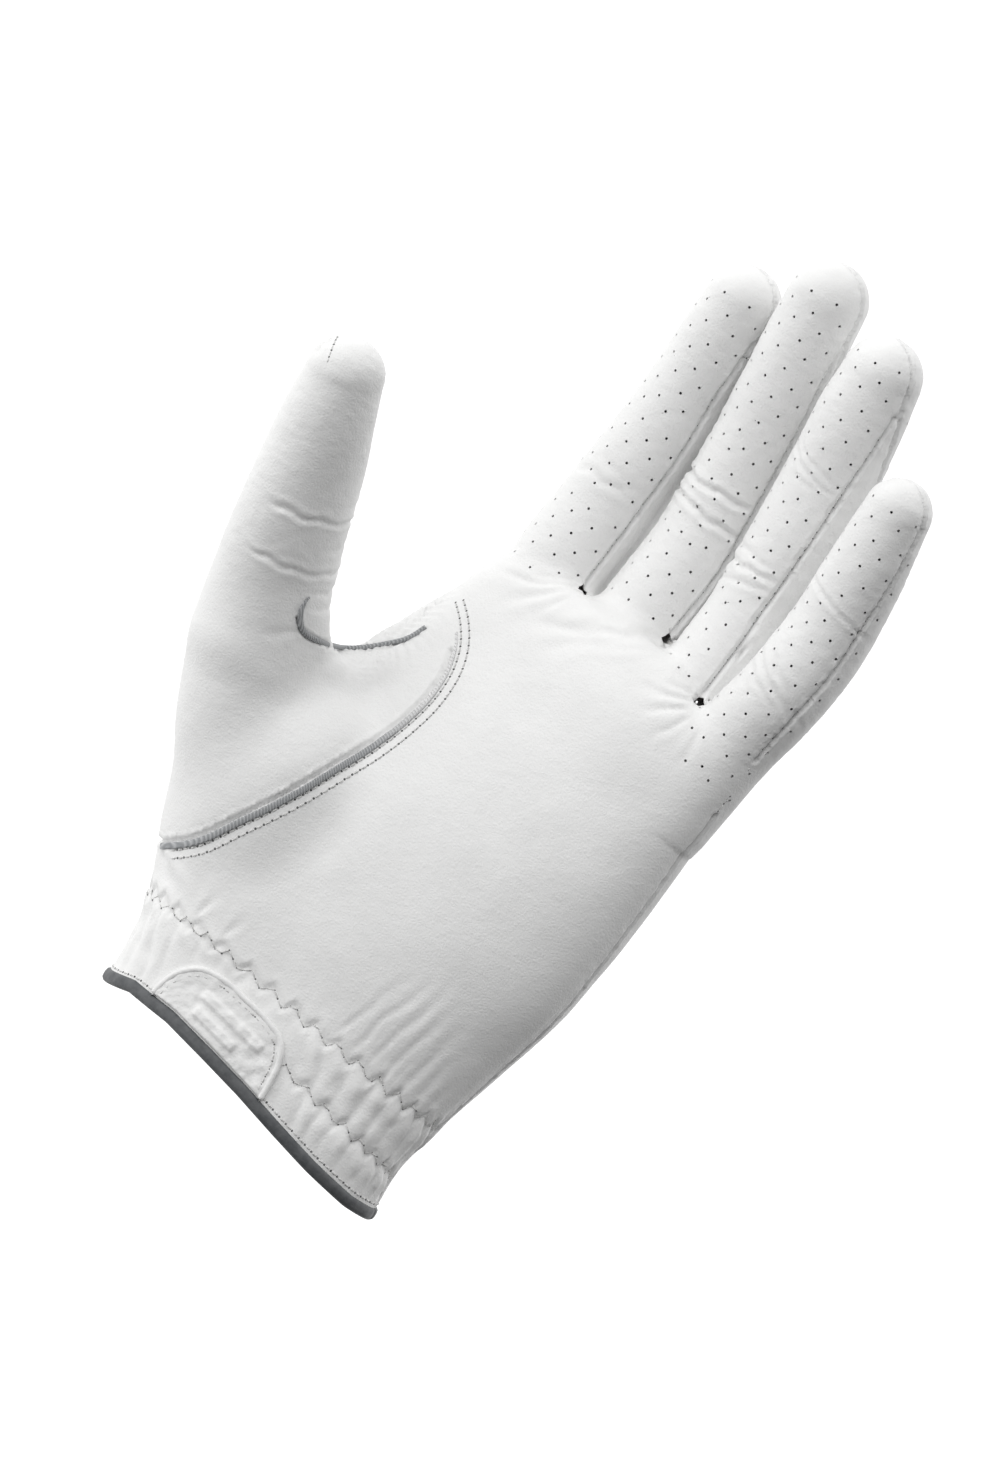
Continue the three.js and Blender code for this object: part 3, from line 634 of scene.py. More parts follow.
def cut_panels(skin):
    """Cuts the skin into panels at the seams, and into segments where the joints bend it."""
    skin.keep(skin.divide(cuff_field))
    centre = skin.centres()
    behind = side_field(centre) < 0
    slit_part = behind & (centre[:, 2] < SLIT_TOP + 5)
    skin.keep(skin.divide(slit_field, slit_part) | ~behind | (centre[:, 2] > SLIT_TOP + 5))
    centre = skin.centres()
    x, z = centre[:, 0], centre[:, 2]
    facing = face_normals(skin.verts, skin.faces)
    thumbward = x < -38
    code = np.full(len(skin.faces), "palm_panel", dtype="U28")

    # Where the joints bend the leather.
    thumb_low = skin.divide(plane_field(THUMB_ALONG, THUMB_ZONE[0]), thumbward)
    thumb_high = skin.divide(plane_field(THUMB_ALONG, THUMB_ZONE[1]), thumbward)
    folds = skin.divide(plane_field(KNUCKLE_UP, KNUCKLE_ZONE[0]), ~thumbward)
    roots = skin.divide(plane_field(KNUCKLE_UP, KNUCKLE_ZONE[1]), ~thumbward)
    owner = owners(centre)
    bends = np.zeros(len(code), bool)
    tips = np.zeros(len(code), bool)
    for i, name in enumerate(FINGERS):
        mine = roots & (owner == i)
        digit = digits[name]
        middle = pivot(name + "_curl")
        way = digit.along[nearest(middle[None], digit.point)[0]]
        reach = CURLS[name][1]
        bends |= mine & skin.divide(plane_field(way, way @ middle - reach), mine)
        tips |= mine & skin.divide(plane_field(way, way @ middle + reach), mine)

    # The hand's own panels.
    below_root = lambda points: points[:, 2] < 102
    above_root = lambda points: points[:, 2] > 115
    low_part = lambda points: points[:, 2] < 97
    web_part = lambda points: (points[:, 0] > -47) & (points[:, 0] < -28)
    low = (z < 36) | (x > 0)
    front = skin.divide(side_field, low & (z < 112), seam=False)
    front[~low] = facing[~low] @ np.array([0.3, 0.95, 0]) < 0
    side = low & (x > 0)
    skin.divide(side_field, side & (z < 114) & (np.abs(side_field(centre)) < 3), True, below_root)
    before, after = front & (x < -10) & (z < 110), ~front & (x < -10) & (z < 100)
    thumb = np.where(front, skin.divide(line_field(thumb_seam), before, True, low_part),
                     skin.divide(line_field(thumb_seam_back), after, seam=True))
    thumb |= thumbward & (z > 100)
    webbed = (x > -52) & (x < -22) & (z > 70) & (z < 118) & ~roots
    gusset = np.where(front, skin.divide(line_field(web_seam), front & webbed, True, web_part),
                      skin.divide(line_field(web_back), ~front & webbed)) & webbed
    code[~front] = "back_panel"
    code[thumb] = "thumb_panel"
    code[gusset] = "web_gusset"
    code[folds] = "knuckle_leather"
    code[thumb_low] = "thumb_bend_leather"
    behind = skin.divide(plane_field(SPLIT_WAY, SPLIT_AT), thumb_low)
    skin.divide(plane_field(SPLIT_WAY, SPLIT_AT), thumb_low & (z > THUMB_TIP_SEAM), seam=True)
    code[thumb_high] = np.where(behind[thumb_high], "thumb_tip_back", "thumb_tip_front")

    # The fingers.
    code[roots] = "finger_roots"
    between = ["index_middle_fourchette", "middle_ring_fourchette", "ring_little_fourchette"]
    above = divide_crotches(skin, roots, centre)
    for i, name in enumerate(FINGERS):
        mine = roots & (owner == i)
        digit = digits[name]
        s = digit.locate(centre[mine])[5]
        length = np.zeros(len(code))
        length[mine] = s
        stripped = np.zeros(len(code), bool)
        for side in STRIP_SIDES[name]:
            turn = np.zeros(len(code))
            turn[mine] = digit.angle(centre[mine])[0] * side
            part = mine & above & (length < digit.length - STRIP_END)
            ahead = skin.divide(strip_edge(name, side, False), part & (turn > 10) & (turn < 100), seam=True)
            behind = skin.divide(strip_edge(name, side, True), part & (turn > 80) & (turn < 170), seam=True)
            strip = part & (turn > 0) & (ahead | (turn >= 100)) & (behind | (turn <= 80))
            stripped |= strip
            code[strip & ~bends] = between[i if side > 0 else i - 1]
            code[strip & tips] = name + ("_outer_fourchette" if side > 0 else "_inner_fourchette")
        palmwards = skin.divide(halves(name), mine & ~stripped, seam=False)
        shut = mine & ~stripped & (length > digit.length - STRIP_END - 1)
        skin.divide(halves(name), shut, seam=True)
        if name == "little":
            outer = mine & ~stripped & (side_of(name, centre, mine) > 0)
            skin.divide(halves(name), outer, True, above_root)
        rest = mine & tips & ~stripped
        code[rest] = np.where(palmwards[rest], name + "_front", name + "_back")
        if name == "index":
            code[rest] = "index_wrap"
        code[mine & bends & ~tips] = name + "_bend_leather"
    return code


def side_of(name, centre, mine):
    u = np.zeros(len(centre))
    u[mine] = digits[name].locate(centre[mine])[0]
    return u


def divide_crotches(skin, roots, centre):
    """True above the line where the side strips start."""
    rise = lambda points: points[:, 2] - crotch_height(points[:, 0]) + 1.5
    near = np.abs(rise(centre)) < 4
    above = rise(centre) > 0
    between = roots & near & (np.abs(finger_gap(centre)) < 7)
    above[between] = skin.divide(rise, between)[between]
    return above


def finger_gap(points):
    """How much farther the second nearest finger is than the nearest."""
    far = np.sort(finger_distances(points), axis=0)
    return far[1] - far[0]




# ---- Perforations -----------------------------------------------------------------------------------
HOLE_RADIUS = 0.29
HOLE_PITCH = 6.3
HOLE_SIDES = 10
HOLES_FROM = {"index": 121, "middle": 126, "ring": 118, "little": 108}


def perforation_points():
    """Hole centres in a diamond lattice over each finger's front and back."""
    found = []
    rng = np.random.default_rng(3)
    for name in FINGERS:
        digit = digits[name]
        start = float(digit.s_at(HOLES_FROM[name]))
        for row, s in enumerate(np.arange(start, digit.length + 4, HOLE_PITCH / 2)):
            at = min(s, digit.length)
            k = int(np.clip(round(at / digit.step), 0, len(digit.at) - 1))
            round_way = HOLE_PITCH / math.radians(1) / digit.size[k, 0]
            offset = 0.5 * (row % 2)
            for column in range(-6, 7):
                angle = (column + offset) * round_way
                front = abs(angle) < min(seam_angle(name, 1, np.array([at]))[0], 84) - 9
                if name == "index":
                    front = front or -100 < angle < 0
                if name == "little":
                    front = front or 0 < angle < 96
                back = abs(abs(angle) - 180) < 62 and abs(angle) <= 180
                if (front or back) and at < digit.length + 0.1 or (front and abs(angle) < 30):
                    stray = rng.normal(0, 0.22, 2)
                    spot, way = digit.spot(np.array([at + stray[0]]), np.array([angle + 5 * stray[1]]))
                    lift = max(s - digit.length, 0)
                    found.append(spot[0] + way[0] * digit.size[k, 0] * math.cos(lift / 9)
                                 + digit.along[k] * lift)
    return project(np.array(found), 3)


class Puncher:
    """Cuts round or three-cornered holes in the skin, each with its own clean edge."""

    def __init__(self, skin, panel):
        self.skin = skin
        self.panel = list(panel)
        self.quads = [tuple(f) for f in skin.faces]
        self.alive = np.ones(len(self.quads), bool)
        self.centres = skin.centres()
        self.cells = {}
        for i, cell in enumerate(map(tuple, np.floor(self.centres / 2).astype(int))):
            self.cells.setdefault(cell, []).append(i)
        self.new_points = []
        self.triangles = []
        self.triangle_panels = []

    def near(self, point, reach):
        base = np.floor(point / 2).astype(int)
        found = []
        for i in range(-1, 2):
            for j in range(-1, 2):
                for k in range(-1, 2):
                    found += self.cells.get((base[0] + i, base[1] + j, base[2] + k), [])
        found = np.array([f for f in found if self.alive[f]], int)
        if len(found) == 0:
            return found
        return found[np.linalg.norm(self.centres[found] - point, axis=1) < reach]

    def punch(self, point, out, radii, mixed=False):
        """Cuts one hole. radii gives the hole's radius for an angle. Returns False where it can't go."""
        across = np.array([0, 0, 1.0]) if abs(out[2]) < 0.95 else np.array([1.0, 0, 0])
        side = unit(np.cross(across, out)[None])[0]
        up = np.cross(out, side)
        largest = max(radii(a) for a in np.linspace(0, 2 * math.pi, 24))
        gone = self.near(point, largest + 0.75 * GRID * 0.5 + 0.12)
        around = self.near(point, largest + GRID * 1.2)
        if len(gone) == 0 or (not mixed and len({self.panel[f] for f in around}) > 1):
            return False
        after = {}
        for f in gone:
            loop = self.quads[f]
            for a, b in zip(loop, loop[1:] + loop[:1]):
                after[(a, b)] = f
        edge = {a: (b, f) for (a, b), f in after.items() if (b, a) not in after}
        start = next(iter(edge))
        ring, panels = [start], [self.panel[edge[start][1]]]
        while edge[ring[-1]][0] != start:
            ring.append(edge[ring[-1]][0])
            if ring[-1] not in edge or len(ring) > len(edge):
                return False
            panels.append(self.panel[edge[ring[-1]][1]])
        if len(ring) != len(edge):
            return False
        rel = self.skin.verts[ring] - point
        angle = np.unwrap(np.arctan2(rel @ up, rel @ side))
        if angle[-1] < angle[0]:
            return False
        first = len(self.skin.verts) + len(self.new_points)
        inner = []
        for k in range(HOLE_SIDES):
            a = angle[0] + 2 * math.pi * k / HOLE_SIDES
            r = radii(a)
            self.new_points.append(point + side * (r * math.cos(a)) + up * (r * math.sin(a)))
            inner.append((first + k, a))
        self.alive[gone] = False
        outer = list(zip(ring, angle)) + [(ring[0], angle[0] + 2 * math.pi)]
        inner.append((first, angle[0] + 2 * math.pi))
        i = j = 0
        while i < len(outer) - 1 or j < len(inner) - 1:
            take_outer = j == len(inner) - 1 or (i < len(outer) - 1 and outer[i + 1][1] <= inner[j + 1][1])
            if take_outer:
                face = (outer[i][0], outer[i + 1][0], inner[j][0])
                i += 1
            else:
                face = (outer[i][0], inner[j + 1][0], inner[j][0])
                j += 1
            self.triangles.append(face)
            self.triangle_panels.append(panels[min(i, len(panels) - 1)])
        return True

    def finish(self):
        """All the points, and each panel's quads and triangles."""
        added = project(np.array(self.new_points), 2)
        verts = np.vstack([self.skin.verts, added])
        quads = np.array(self.quads)[self.alive]
        quad_panels = np.array(self.panel)[self.alive]
        return verts, quads, quad_panels, np.array(self.triangles), np.array(self.triangle_panels)


def punch_holes(skin, panel):
    puncher = Puncher(skin, panel)
    x, z = np.array(CROTCHES, float).T
    z = z - 1.6
    corners = np.stack([x, surface_y(x, z, -1), z], 1)
    for point, out in zip(corners, unit(gradient(skin_distance, corners, 0.1))):
        puncher.punch(point, out, lambda a: 1.15 + 0.35 * math.cos(3 * (a - math.pi / 2)), mixed=True)
    first = perforation_points()
    done = np.zeros(len(first), bool)
    for shift in (0, 0.7, -0.7, 1.3, -1.3):
        places = project(first + np.array([0, 0, shift]))
        ways = unit(gradient(skin_distance, places, 0.1))
        for i in np.nonzero(~done)[0]:
            done[i] = puncher.punch(places[i], ways[i], lambda a: HOLE_RADIUS)
    return puncher.finish()


def surface_y(x, z, side):
    """Where a line along Y first meets the skin, from the front (side -1) or the back (side 1)."""
    points = np.stack([x, np.full(len(x), 50.0 * side), z], 1)
    for _ in range(40):
        step = np.clip(skin_distance(points), -1, 6)
        points[:, 1] -= side * 0.9 * step
    return points[:, 1]


# ---- Relief: what the leather does on top of the smooth shape ----------------------------------------
class Noise:
    """Smooth random heights, about -1 to 1, on a lattice that repeats far away."""

    def __init__(self, seed, size=64):
        self.size = size
        self.table = np.random.default_rng(seed).uniform(-1, 1, (size, size, size))

    def at(self, points):
        base = np.floor(points).astype(int)
        t = points - base
        t = t * t * (3 - 2 * t)
        total = 0
        for i in (0, 1):
            for j in (0, 1):
                for k in (0, 1):
                    corner = (base + (i, j, k)) % self.size
                    weight = 1
                    for axis, bit in enumerate((i, j, k)):
                        weight = weight * (t[:, axis] if bit else 1 - t[:, axis])
                    total = total + weight * self.table[tuple(corner.T)]
        return total


noise = Noise(7)
fine_noise = Noise(11)

# Creases across the digits: digit, height, tilt (rise per mm towards the little finger), from and to angle,
# depth and half width.
CREASES = [
    ("index", 143, 0.10, -70, 60, 0.2, 0.8), ("index", 146.5, -0.10, -30, 70, 0.14, 0.7),
    ("middle", 150.2, -0.16, -90, 75, 0.8, 0.6), ("middle", 155.4, -0.02, -95, 70, 0.7, 0.6),
    ("ring", 143.5, 0.22, -60, 50, 0.3, 0.6), ("ring", 146.8, 0.08, -75, 55, 0.45, 0.6),
    ("ring", 149.5, -0.05, -60, 40, 0.25, 0.6),
    ("ring", 170.5, -0.25, -50, 60, 0.25, 0.5), ("ring", 173, -0.3, -30, 60, 0.2, 0.5),
    ("ring", 168, -0.2, -20, 50, 0.15, 0.5),
    ("little", 131, -0.30, -60, 90, 0.3, 0.6), ("little", 133.8, -0.45, -20, 100, 0.28, 0.6),
    ("little", 128.5, -0.2, -50, 60, 0.2, 0.6), ("little", 151, -0.25, -60, 90, 0.35, 0.5),
    ("thumb", 102.6, -0.12, -80, 100, 0.45, 0.55), ("thumb", 93, -0.12, -85, 90, 0.4, 0.55),
    ("thumb", 97.5, -0.1, 0, 90, 0.16, 0.6), ("thumb", 89.5, -0.15, -10, 90, 0.2, 0.6),
    ("thumb", 86.5, -0.2, -10, 80, 0.16, 0.6), ("thumb", 105.5, -0.1, 10, 90, 0.12, 0.6),
]

# Folds in the palm, seen from the front: from x, z to x, z, depth and half width.
FOLDS = [
    (-7, 121.5, -22, 114, 0.42, 0.6), (-7.5, 120.5, -18, 110.5, 0.36, 0.7),
    (-8.5, 122.5, -17, 117.5, 0.24, 0.6), (-6.5, 119, -12, 111, 0.2, 0.7),
    (12, 123.5, -15, 107, 0.42, 1.2), (11.5, 122, -7, 107.5, 0.36, 1.1),
    (12.5, 120.5, 1, 112.5, 0.22, 0.8), (6, 119.5, -8, 112, 0.2, 0.7),
    (24, 117.2, 14, 113, 0.3, 0.6), (24.5, 115.8, 17, 109, 0.28, 0.7), (26, 114.5, 21.5, 106, 0.2, 0.7),
    (29, 114, 31, 104.5, 0.15, 0.8), (24.3, 118.6, 17, 116.8, 0.2, 0.5),
    (-42, 29.5, -33, 24, 0.5, 1.0), (-41, 35, -36, 28, 0.25, 0.9),
    (8, 23, 13, 40, 0.16, 0.7), (12, 22, 17.5, 44, 0.2, 0.7), (16.5, 21, 21, 46, 0.2, 0.7),
    (20.5, 20, 24, 40, 0.2, 0.7), (24.5, 18, 27.5, 38, 0.2, 0.8), (28, 17, 30.5, 34, 0.18, 0.8),
    (31, 14, 33, 30, 0.18, 0.8), (-22, 24, -20, 31, 0.2, 0.7), (-28, 24, -27.5, 31, 0.22, 0.7),
    (-75, 133.5, -72.2, 126.4, 0.3, 0.35), (-36, 84, -40, 76, 0.14, 1.2), (-45, 82, -52, 76, 0.2, 1.0),
]
CUFF_STEP = 4.2  # pitch of the gathers round the wrist
GATHER_LOW, GATHER_HIGH = 3, 21


def crease_relief(points):
    total = np.zeros(len(points))
    owner = owners(points)
    for name, height, tilt, low, high, depth, width in CREASES:
        digit = digits[name]
        at = float(digit.s_at(height))
        near = np.linalg.norm(points - digit.spot(np.array([at]), np.array([0.0]))[0], axis=1) < 24
        near &= (points[:, 0] < -38) if name == "thumb" else (owner == FINGERS.index(name))
        if not near.any():
            continue
        u, v, _, a, b, s = digit.locate(points[near])
        angle = np.degrees(np.arctan2(u / a, v / b))
        wander = 0.7 * noise.at(points[near] / 3.1 + height)
        off = s - at - tilt * np.radians(angle) * a - wander
        window = smoothstep(low, low + 25, angle) * (1 - smoothstep(high - 25, high, angle))
        groove = np.exp(-(off / width) ** 2)
        swell = np.exp(-((np.abs(off) - 2.2 * width) / (1.1 * width)) ** 2)
        total[near] += window * depth * (0.35 * swell - groove)
    return total


def fold_relief(points, facing):
    total = np.zeros(len(points))
    x, z = points[:, 0], points[:, 2]
    for x0, z0, x1, z1, depth, width in FOLDS:
        way = np.array([x1 - x0, z1 - z0])
        length = np.hypot(*way)
        way = way / length
        t = ((x - x0) * way[0] + (z - z0) * way[1]) / length
        near = (t > -0.15) & (t < 1.15)
        side = (x[near] - x0) * -way[1] + (z[near] - z0) * way[0]
        side = side - 0.8 * noise.at(np.stack([x[near] / 5, z[near] / 5, np.full(near.sum(), x0)], 1))
        tn = t[near]
        window = smoothstep(-0.1, 0.15, tn) * (1 - smoothstep(0.45, 1.1, tn))
        wide = width * (0.6 + 0.9 * np.clip(tn, 0, 1))
        groove = np.exp(-(side / wide) ** 2)
        swell = np.exp(-((np.abs(side) - 2 * wide) / (1.1 * wide)) ** 2)
        total[near] += window * depth * (0.4 * swell - groove)
    return total * facing


def cuff_relief(points):
    """The leather drawn in over the elastic: a row of little steps, and swollen gathers below it."""
    u, v, a, b, height = palm_coordinates(points)
    arc = np.arctan2(u / a, v / b) * (a + b) / 2
    front = smoothstep(-0.25, 0.1, v / b)
    wander = 1.9 * noise.at(np.stack([arc / 8, height / 7, 0 * arc], 1))
    phase = (arc + wander) / CUFF_STEP
    window = smoothstep(1.5, 7, height) * (1 - smoothstep(GATHER_HIGH - 4, GATHER_HIGH + 5, height))
    swell = 0.5 * np.abs(np.sin(np.pi * phase)) ** 0.7 - 0.28
    lumps = 0.26 * noise.at(np.stack([arc / 2.4, height / 3.4, 0 * arc + 5], 1))
    lumps += 0.12 * fine_noise.at(np.stack([arc / 1.3, height / 2.6, 0 * arc + 5], 1))
    gathered = front * window * (0.9 * swell + lumps)
    shade = 0.5 + 0.5 * noise.at(np.stack([arc / 7, height / 9, 0 * arc + 9], 1))
    above = smoothstep(17, 22, height) * (1 - smoothstep(24, 44, height)) * front
    tension = 0.07 * above * np.sin(2 * np.pi * phase) * shade
    stitched = np.zeros(len(points))
    for row in STEP_ROWS:
        stitched += row.relief(arc, height, front)
    return gathered + tension + stitched


class StepRow:
    """A row of stitching that climbs in little steps: flat runs joined by short risers."""

    def __init__(self, level, first, last, rise, slope):
        self.level, self.first, self.last, self.rise, self.slope = level, first, last, rise, slope

    def height(self, arc):
        t = (arc / CUFF_STEP) % 1
        saw = np.where(t < 0.72, 0.0, (t - 0.72) / 0.28)
        return self.level + self.slope * arc + self.rise * (saw - (t if self.rise < 0 else t) + 0.5)

    def relief(self, arc, height, front):
        along = smoothstep(self.first - 3, self.first + 1, arc)
        along = along * (1 - smoothstep(self.last - 1, self.last + 3, arc))
        off = height - self.height(arc)
        groove = np.exp(-(off / 0.9) ** 2)
        teeth = np.exp(-((off + 2.2) / 1.6) ** 2) * (0.5 - 0.5 * np.cos(2 * np.pi * arc / CUFF_STEP))
        lip = np.exp(-((off - 1.7) / 1.1) ** 2)
        return front * along * (0.34 * teeth + 0.12 * lip - 0.5 * groove)


STEP_ROWS = [StepRow(20.5, -48, 38, 3.2, 0.0), StepRow(11.5, 2, 38, 2.6, -0.06)]


def undulation(points):
    slow = 0.30 * noise.at(points / 17) + 0.13 * noise.at(points / 7.5 + 20)
    fingers = smoothstep(108, 124, points[:, 2])
    thumb = smoothstep(-40, -48, points[:, 0]) * smoothstep(82, 90, points[:, 2])
    creep = (0.02 + 0.05 * np.maximum(fingers, thumb)) * fine_noise.at(points * np.array([0.5, 0.5, 1.0]))
    return slow + creep


FACING_SHIFT = 2.0  # keeps a seam's pull from reaching the finger beside it


def seam_relief(points, out):
    """Leather pulled in along the seams, with small puckers between the stitches."""
    far = np.array([seam_tree.find(p)[2] for p in points + out * FACING_SHIFT])
    pull = -0.75 * np.exp(-(far / 0.4) ** 2) - 0.22 * np.exp(-(far / 2.2) ** 2)
    bead = 0.18 * np.exp(-((far - 1.0) / 0.5) ** 2)
    pucker = 0.16 * np.exp(-(far / 2.2) ** 2) * fine_noise.at(points / 1.15)
    return pull + bead + pucker


def relief(points):
    out = unit(gradient(skin_distance, points, 0.1))
    facing = smoothstep(-0.1, 0.35, -out[:, 1])
    total = undulation(points) + crease_relief(points) + fold_relief(points, facing)
    low = points[:, 2] < 55
    if low.any():
        total[low] += cuff_relief(points[low])
    total += seam_relief(points, out)
    flat = patch_calm(points, out)
    return total * flat, out


def patch_calm(points, out):
    """The leather lies flatter under the patch on the palm and under the closure on the back."""
    x, z = points[:, 0], points[:, 2]
    left = smoothstep(-30, -26, x)
    palm = left * (1 - smoothstep(4, 8, x)) * (1 - smoothstep(17, 20, z)) * (out[:, 1] < 0)
    back = left * (1 - smoothstep(27, 31, x)) * (1 - smoothstep(34, 38, z)) * (out[:, 1] > 0)
    return 1 - 0.85 * np.maximum(palm, back)


# ---- Meshes -----------------------------------------------------------------------------------------
def mesh_object(name, verts, faces, material, normals=None, smooth=True):
    """A Blender object from points in millimetres."""
    mesh = bpy.data.meshes.new(name)
    mesh.from_pydata((np.asarray(verts) * MM).tolist(), [], [tuple(int(i) for i in f) for f in faces])
    mesh.materials.append(material)
    mesh.polygons.foreach_set("use_smooth", [smooth] * len(mesh.polygons))
    mesh.update()
    if normals is not None:
        mesh.normals_split_custom_set_from_vertices(np.asarray(normals).tolist())
    obj = bpy.data.objects.new(name, mesh)
    bpy.context.scene.collection.objects.link(obj)
    return obj


def shell(verts, normals, quads, triangles, thickness):
    """The panel's outside, its inside a leather's thickness under it, and the cut edge between."""
    faces = [tuple(f) for f in quads] + [tuple(f) for f in triangles]
    used = np.unique(np.concatenate([quads.ravel(), triangles.ravel()]))
    number = {int(v): i for i, v in enumerate(used)}
    n = len(used)
    outside = [tuple(number[int(i)] for i in f) for f in faces]
    edges = set()
    for f in outside:
        edges.update(zip(f, f[1:] + f[:1]))
    rim = [(b, a, a + n, b + n) for a, b in edges if (b, a) not in edges]
    inside = [tuple(i + n for i in reversed(f)) for f in outside]
    points = np.vstack([verts[used], verts[used] - normals[used] * thickness])
    return points, outside + inside + rim, np.vstack([normals[used], -normals[used]])


# ---- Materials --------------------------------------------------------------------------------------
class Material:
    """A Principled material, with helpers to hang procedural detail on it."""

    def __init__(self, name, colour, roughness=0.5, **settings):
        self.material = bpy.data.materials.new(name)
        self.material.use_nodes = True
        self.nodes = self.material.node_tree.nodes
        self.links = self.material.node_tree.links
        self.shader = self.nodes["Principled BSDF"]
        self.shader.inputs["Base Color"].default_value = (*colour, 1)
        self.shader.inputs["Roughness"].default_value = roughness
        for key, value in settings.items():
            self.shader.inputs[key.replace("_", " ").title()].default_value = value
        self.place = self.nodes.new("ShaderNodeTexCoord").outputs["Object"]
        self.height = None

    def stretched(self, scale, turn=(0, 0, 0)):
        node = self.nodes.new("ShaderNodeMapping")
        node.inputs["Scale"].default_value = scale
        node.inputs["Rotation"].default_value = turn
        self.links.new(self.place, node.inputs["Vector"])
        return node.outputs[0]

    def noise(self, scale, detail=4, rough=0.5, vector=None):
        node = self.nodes.new("ShaderNodeTexNoise")
        node.inputs["Scale"].default_value = scale
        node.inputs["Detail"].default_value = detail
        node.inputs["Roughness"].default_value = rough
        self.links.new(vector or self.place, node.inputs["Vector"])
        return node.outputs["Fac"]

    def cells(self, scale, vector=None, feature="DISTANCE_TO_EDGE"):
        node = self.nodes.new("ShaderNodeTexVoronoi")
        node.feature = feature
        node.inputs["Scale"].default_value = scale
        self.links.new(vector or self.place, node.inputs["Vector"])
        return node.outputs["Distance"]

    def waves(self, scale, direction, distortion=0.0, vector=None):
        node = self.nodes.new("ShaderNodeTexWave")
        node.bands_direction = direction
        node.inputs["Scale"].default_value = scale
        node.inputs["Distortion"].default_value = distortion
        self.links.new(vector or self.place, node.inputs["Vector"])
        return node.outputs["Fac"]

    def spread(self, value, low, high, to_low, to_high):
        node = self.nodes.new("ShaderNodeMapRange")
        for key, number in zip(("From Min", "From Max", "To Min", "To Max"), (low, high, to_low, to_high)):
            node.inputs[key].default_value = number
        self.links.new(value, node.inputs["Value"])
        return node.outputs["Result"]

    def colours(self, value, first, second):
        node = self.nodes.new("ShaderNodeMix")
        node.data_type = "RGBA"
        node.inputs[6].default_value = (*first, 1)
        node.inputs[7].default_value = (*second, 1)
        self.links.new(value, node.inputs[0])
        self.links.new(node.outputs[2], self.shader.inputs["Base Color"])
        return node

    def fade_up(self, mix, low, high, colour):
        """Fades the colour into another one between two heights, for x beyond the web."""
        node = self.nodes.new("ShaderNodeMix")
        node.data_type = "RGBA"
        node.inputs[7].default_value = (*colour, 1)
        axes = self.nodes.new("ShaderNodeSeparateXYZ")
        self.links.new(self.place, axes.inputs[0])
        tall = self.spread(axes.outputs["Z"], low, high, 0, 1)
        beside = self.spread(axes.outputs["X"], -0.0265, -0.0225, 0, 1)
        both = self.nodes.new("ShaderNodeMath")
        both.operation = "MULTIPLY"
        self.links.new(tall, both.inputs[0])
        self.links.new(beside, both.inputs[1])
        self.links.new(both.outputs[0], node.inputs[0])
        self.links.new(mix.outputs[2], node.inputs[6])
        self.links.new(node.outputs[2], self.shader.inputs["Base Color"])

    def rough(self, value, low, high):
        self.links.new(self.spread(value, 0.3, 0.7, low, high), self.shader.inputs["Roughness"])

    def bump(self, height, distance, strength=1.0):
        node = self.nodes.new("ShaderNodeBump")
        node.inputs["Distance"].default_value = distance
        node.inputs["Strength"].default_value = strength
        self.links.new(height, node.inputs["Height"])
        if self.height:
            self.links.new(self.height, node.inputs["Normal"])
        self.height = node.outputs["Normal"]
        self.links.new(self.height, self.shader.inputs["Normal"])


def white_leather():
    m = Material("white_leather", (0.86, 0.86, 0.855), 0.5)
    m.shader.inputs["Specular IOR Level"].default_value = 0.35
    tone = m.noise(60, 5)
    m.colours(m.spread(tone, 0.35, 0.65, 0, 1), (0.84, 0.84, 0.835), (0.88, 0.88, 0.875))
    m.rough(m.noise(220, 4), 0.42, 0.58)
    m.bump(m.noise(420, 5, 0.6, m.stretched((1, 1, 1.5), (0, 0.35, 0))), 0.00016, 0.8)
    m.bump(m.noise(160, 4, 0.6), 0.0002, 0.5)
    m.bump(m.cells(1300), 0.0001, 0.8)
    return m.material


def suede():
    m = Material("suede_inside", (0.75, 0.74, 0.72), 0.95)
    m.colours(m.spread(m.noise(300, 5), 0.35, 0.65, 0, 1), (0.70, 0.69, 0.67), (0.80, 0.79, 0.77))
    m.bump(m.noise(1800, 4), 0.0001, 0.8)
    return m.material


def woven_tape():
    m = Material("grey_woven_tape", (0.42, 0.43, 0.44), 0.7)
    weave = m.waves(700, "DIAGONAL", 0.6)
    mix = m.colours(weave, (0.30, 0.31, 0.32), (0.50, 0.51, 0.52))
    m.fade_up(mix, 0.072, 0.086, (0.8, 0.8, 0.8))
    m.bump(weave, 0.0002)
    return m.material


def dark_binding():
    m = Material("dark_binding", (0.09, 0.095, 0.10), 0.55)
    m.colours(m.spread(m.noise(500, 4), 0.35, 0.65, 0, 1), (0.075, 0.08, 0.085), (0.12, 0.125, 0.13))
    m.bump(m.noise(1300, 4), 0.0001, 0.7)
    return m.material


def elastic():
    m = Material("ribbed_elastic", (0.80, 0.80, 0.79), 0.8)
    rib = m.waves(420, "Z", 0.15)
    m.colours(rib, (0.66, 0.66, 0.65), (0.85, 0.85, 0.84))
    m.bump(rib, 0.0003)
    return m.material


def thread():
    m = Material("white_thread", (0.80, 0.80, 0.79), 0.6)
    m.colours(m.waves(1500, "DIAGONAL"), (0.72, 0.72, 0.71), (0.84, 0.84, 0.83))
    m.bump(m.waves(1500, "DIAGONAL"), 0.0001)
    return m.material


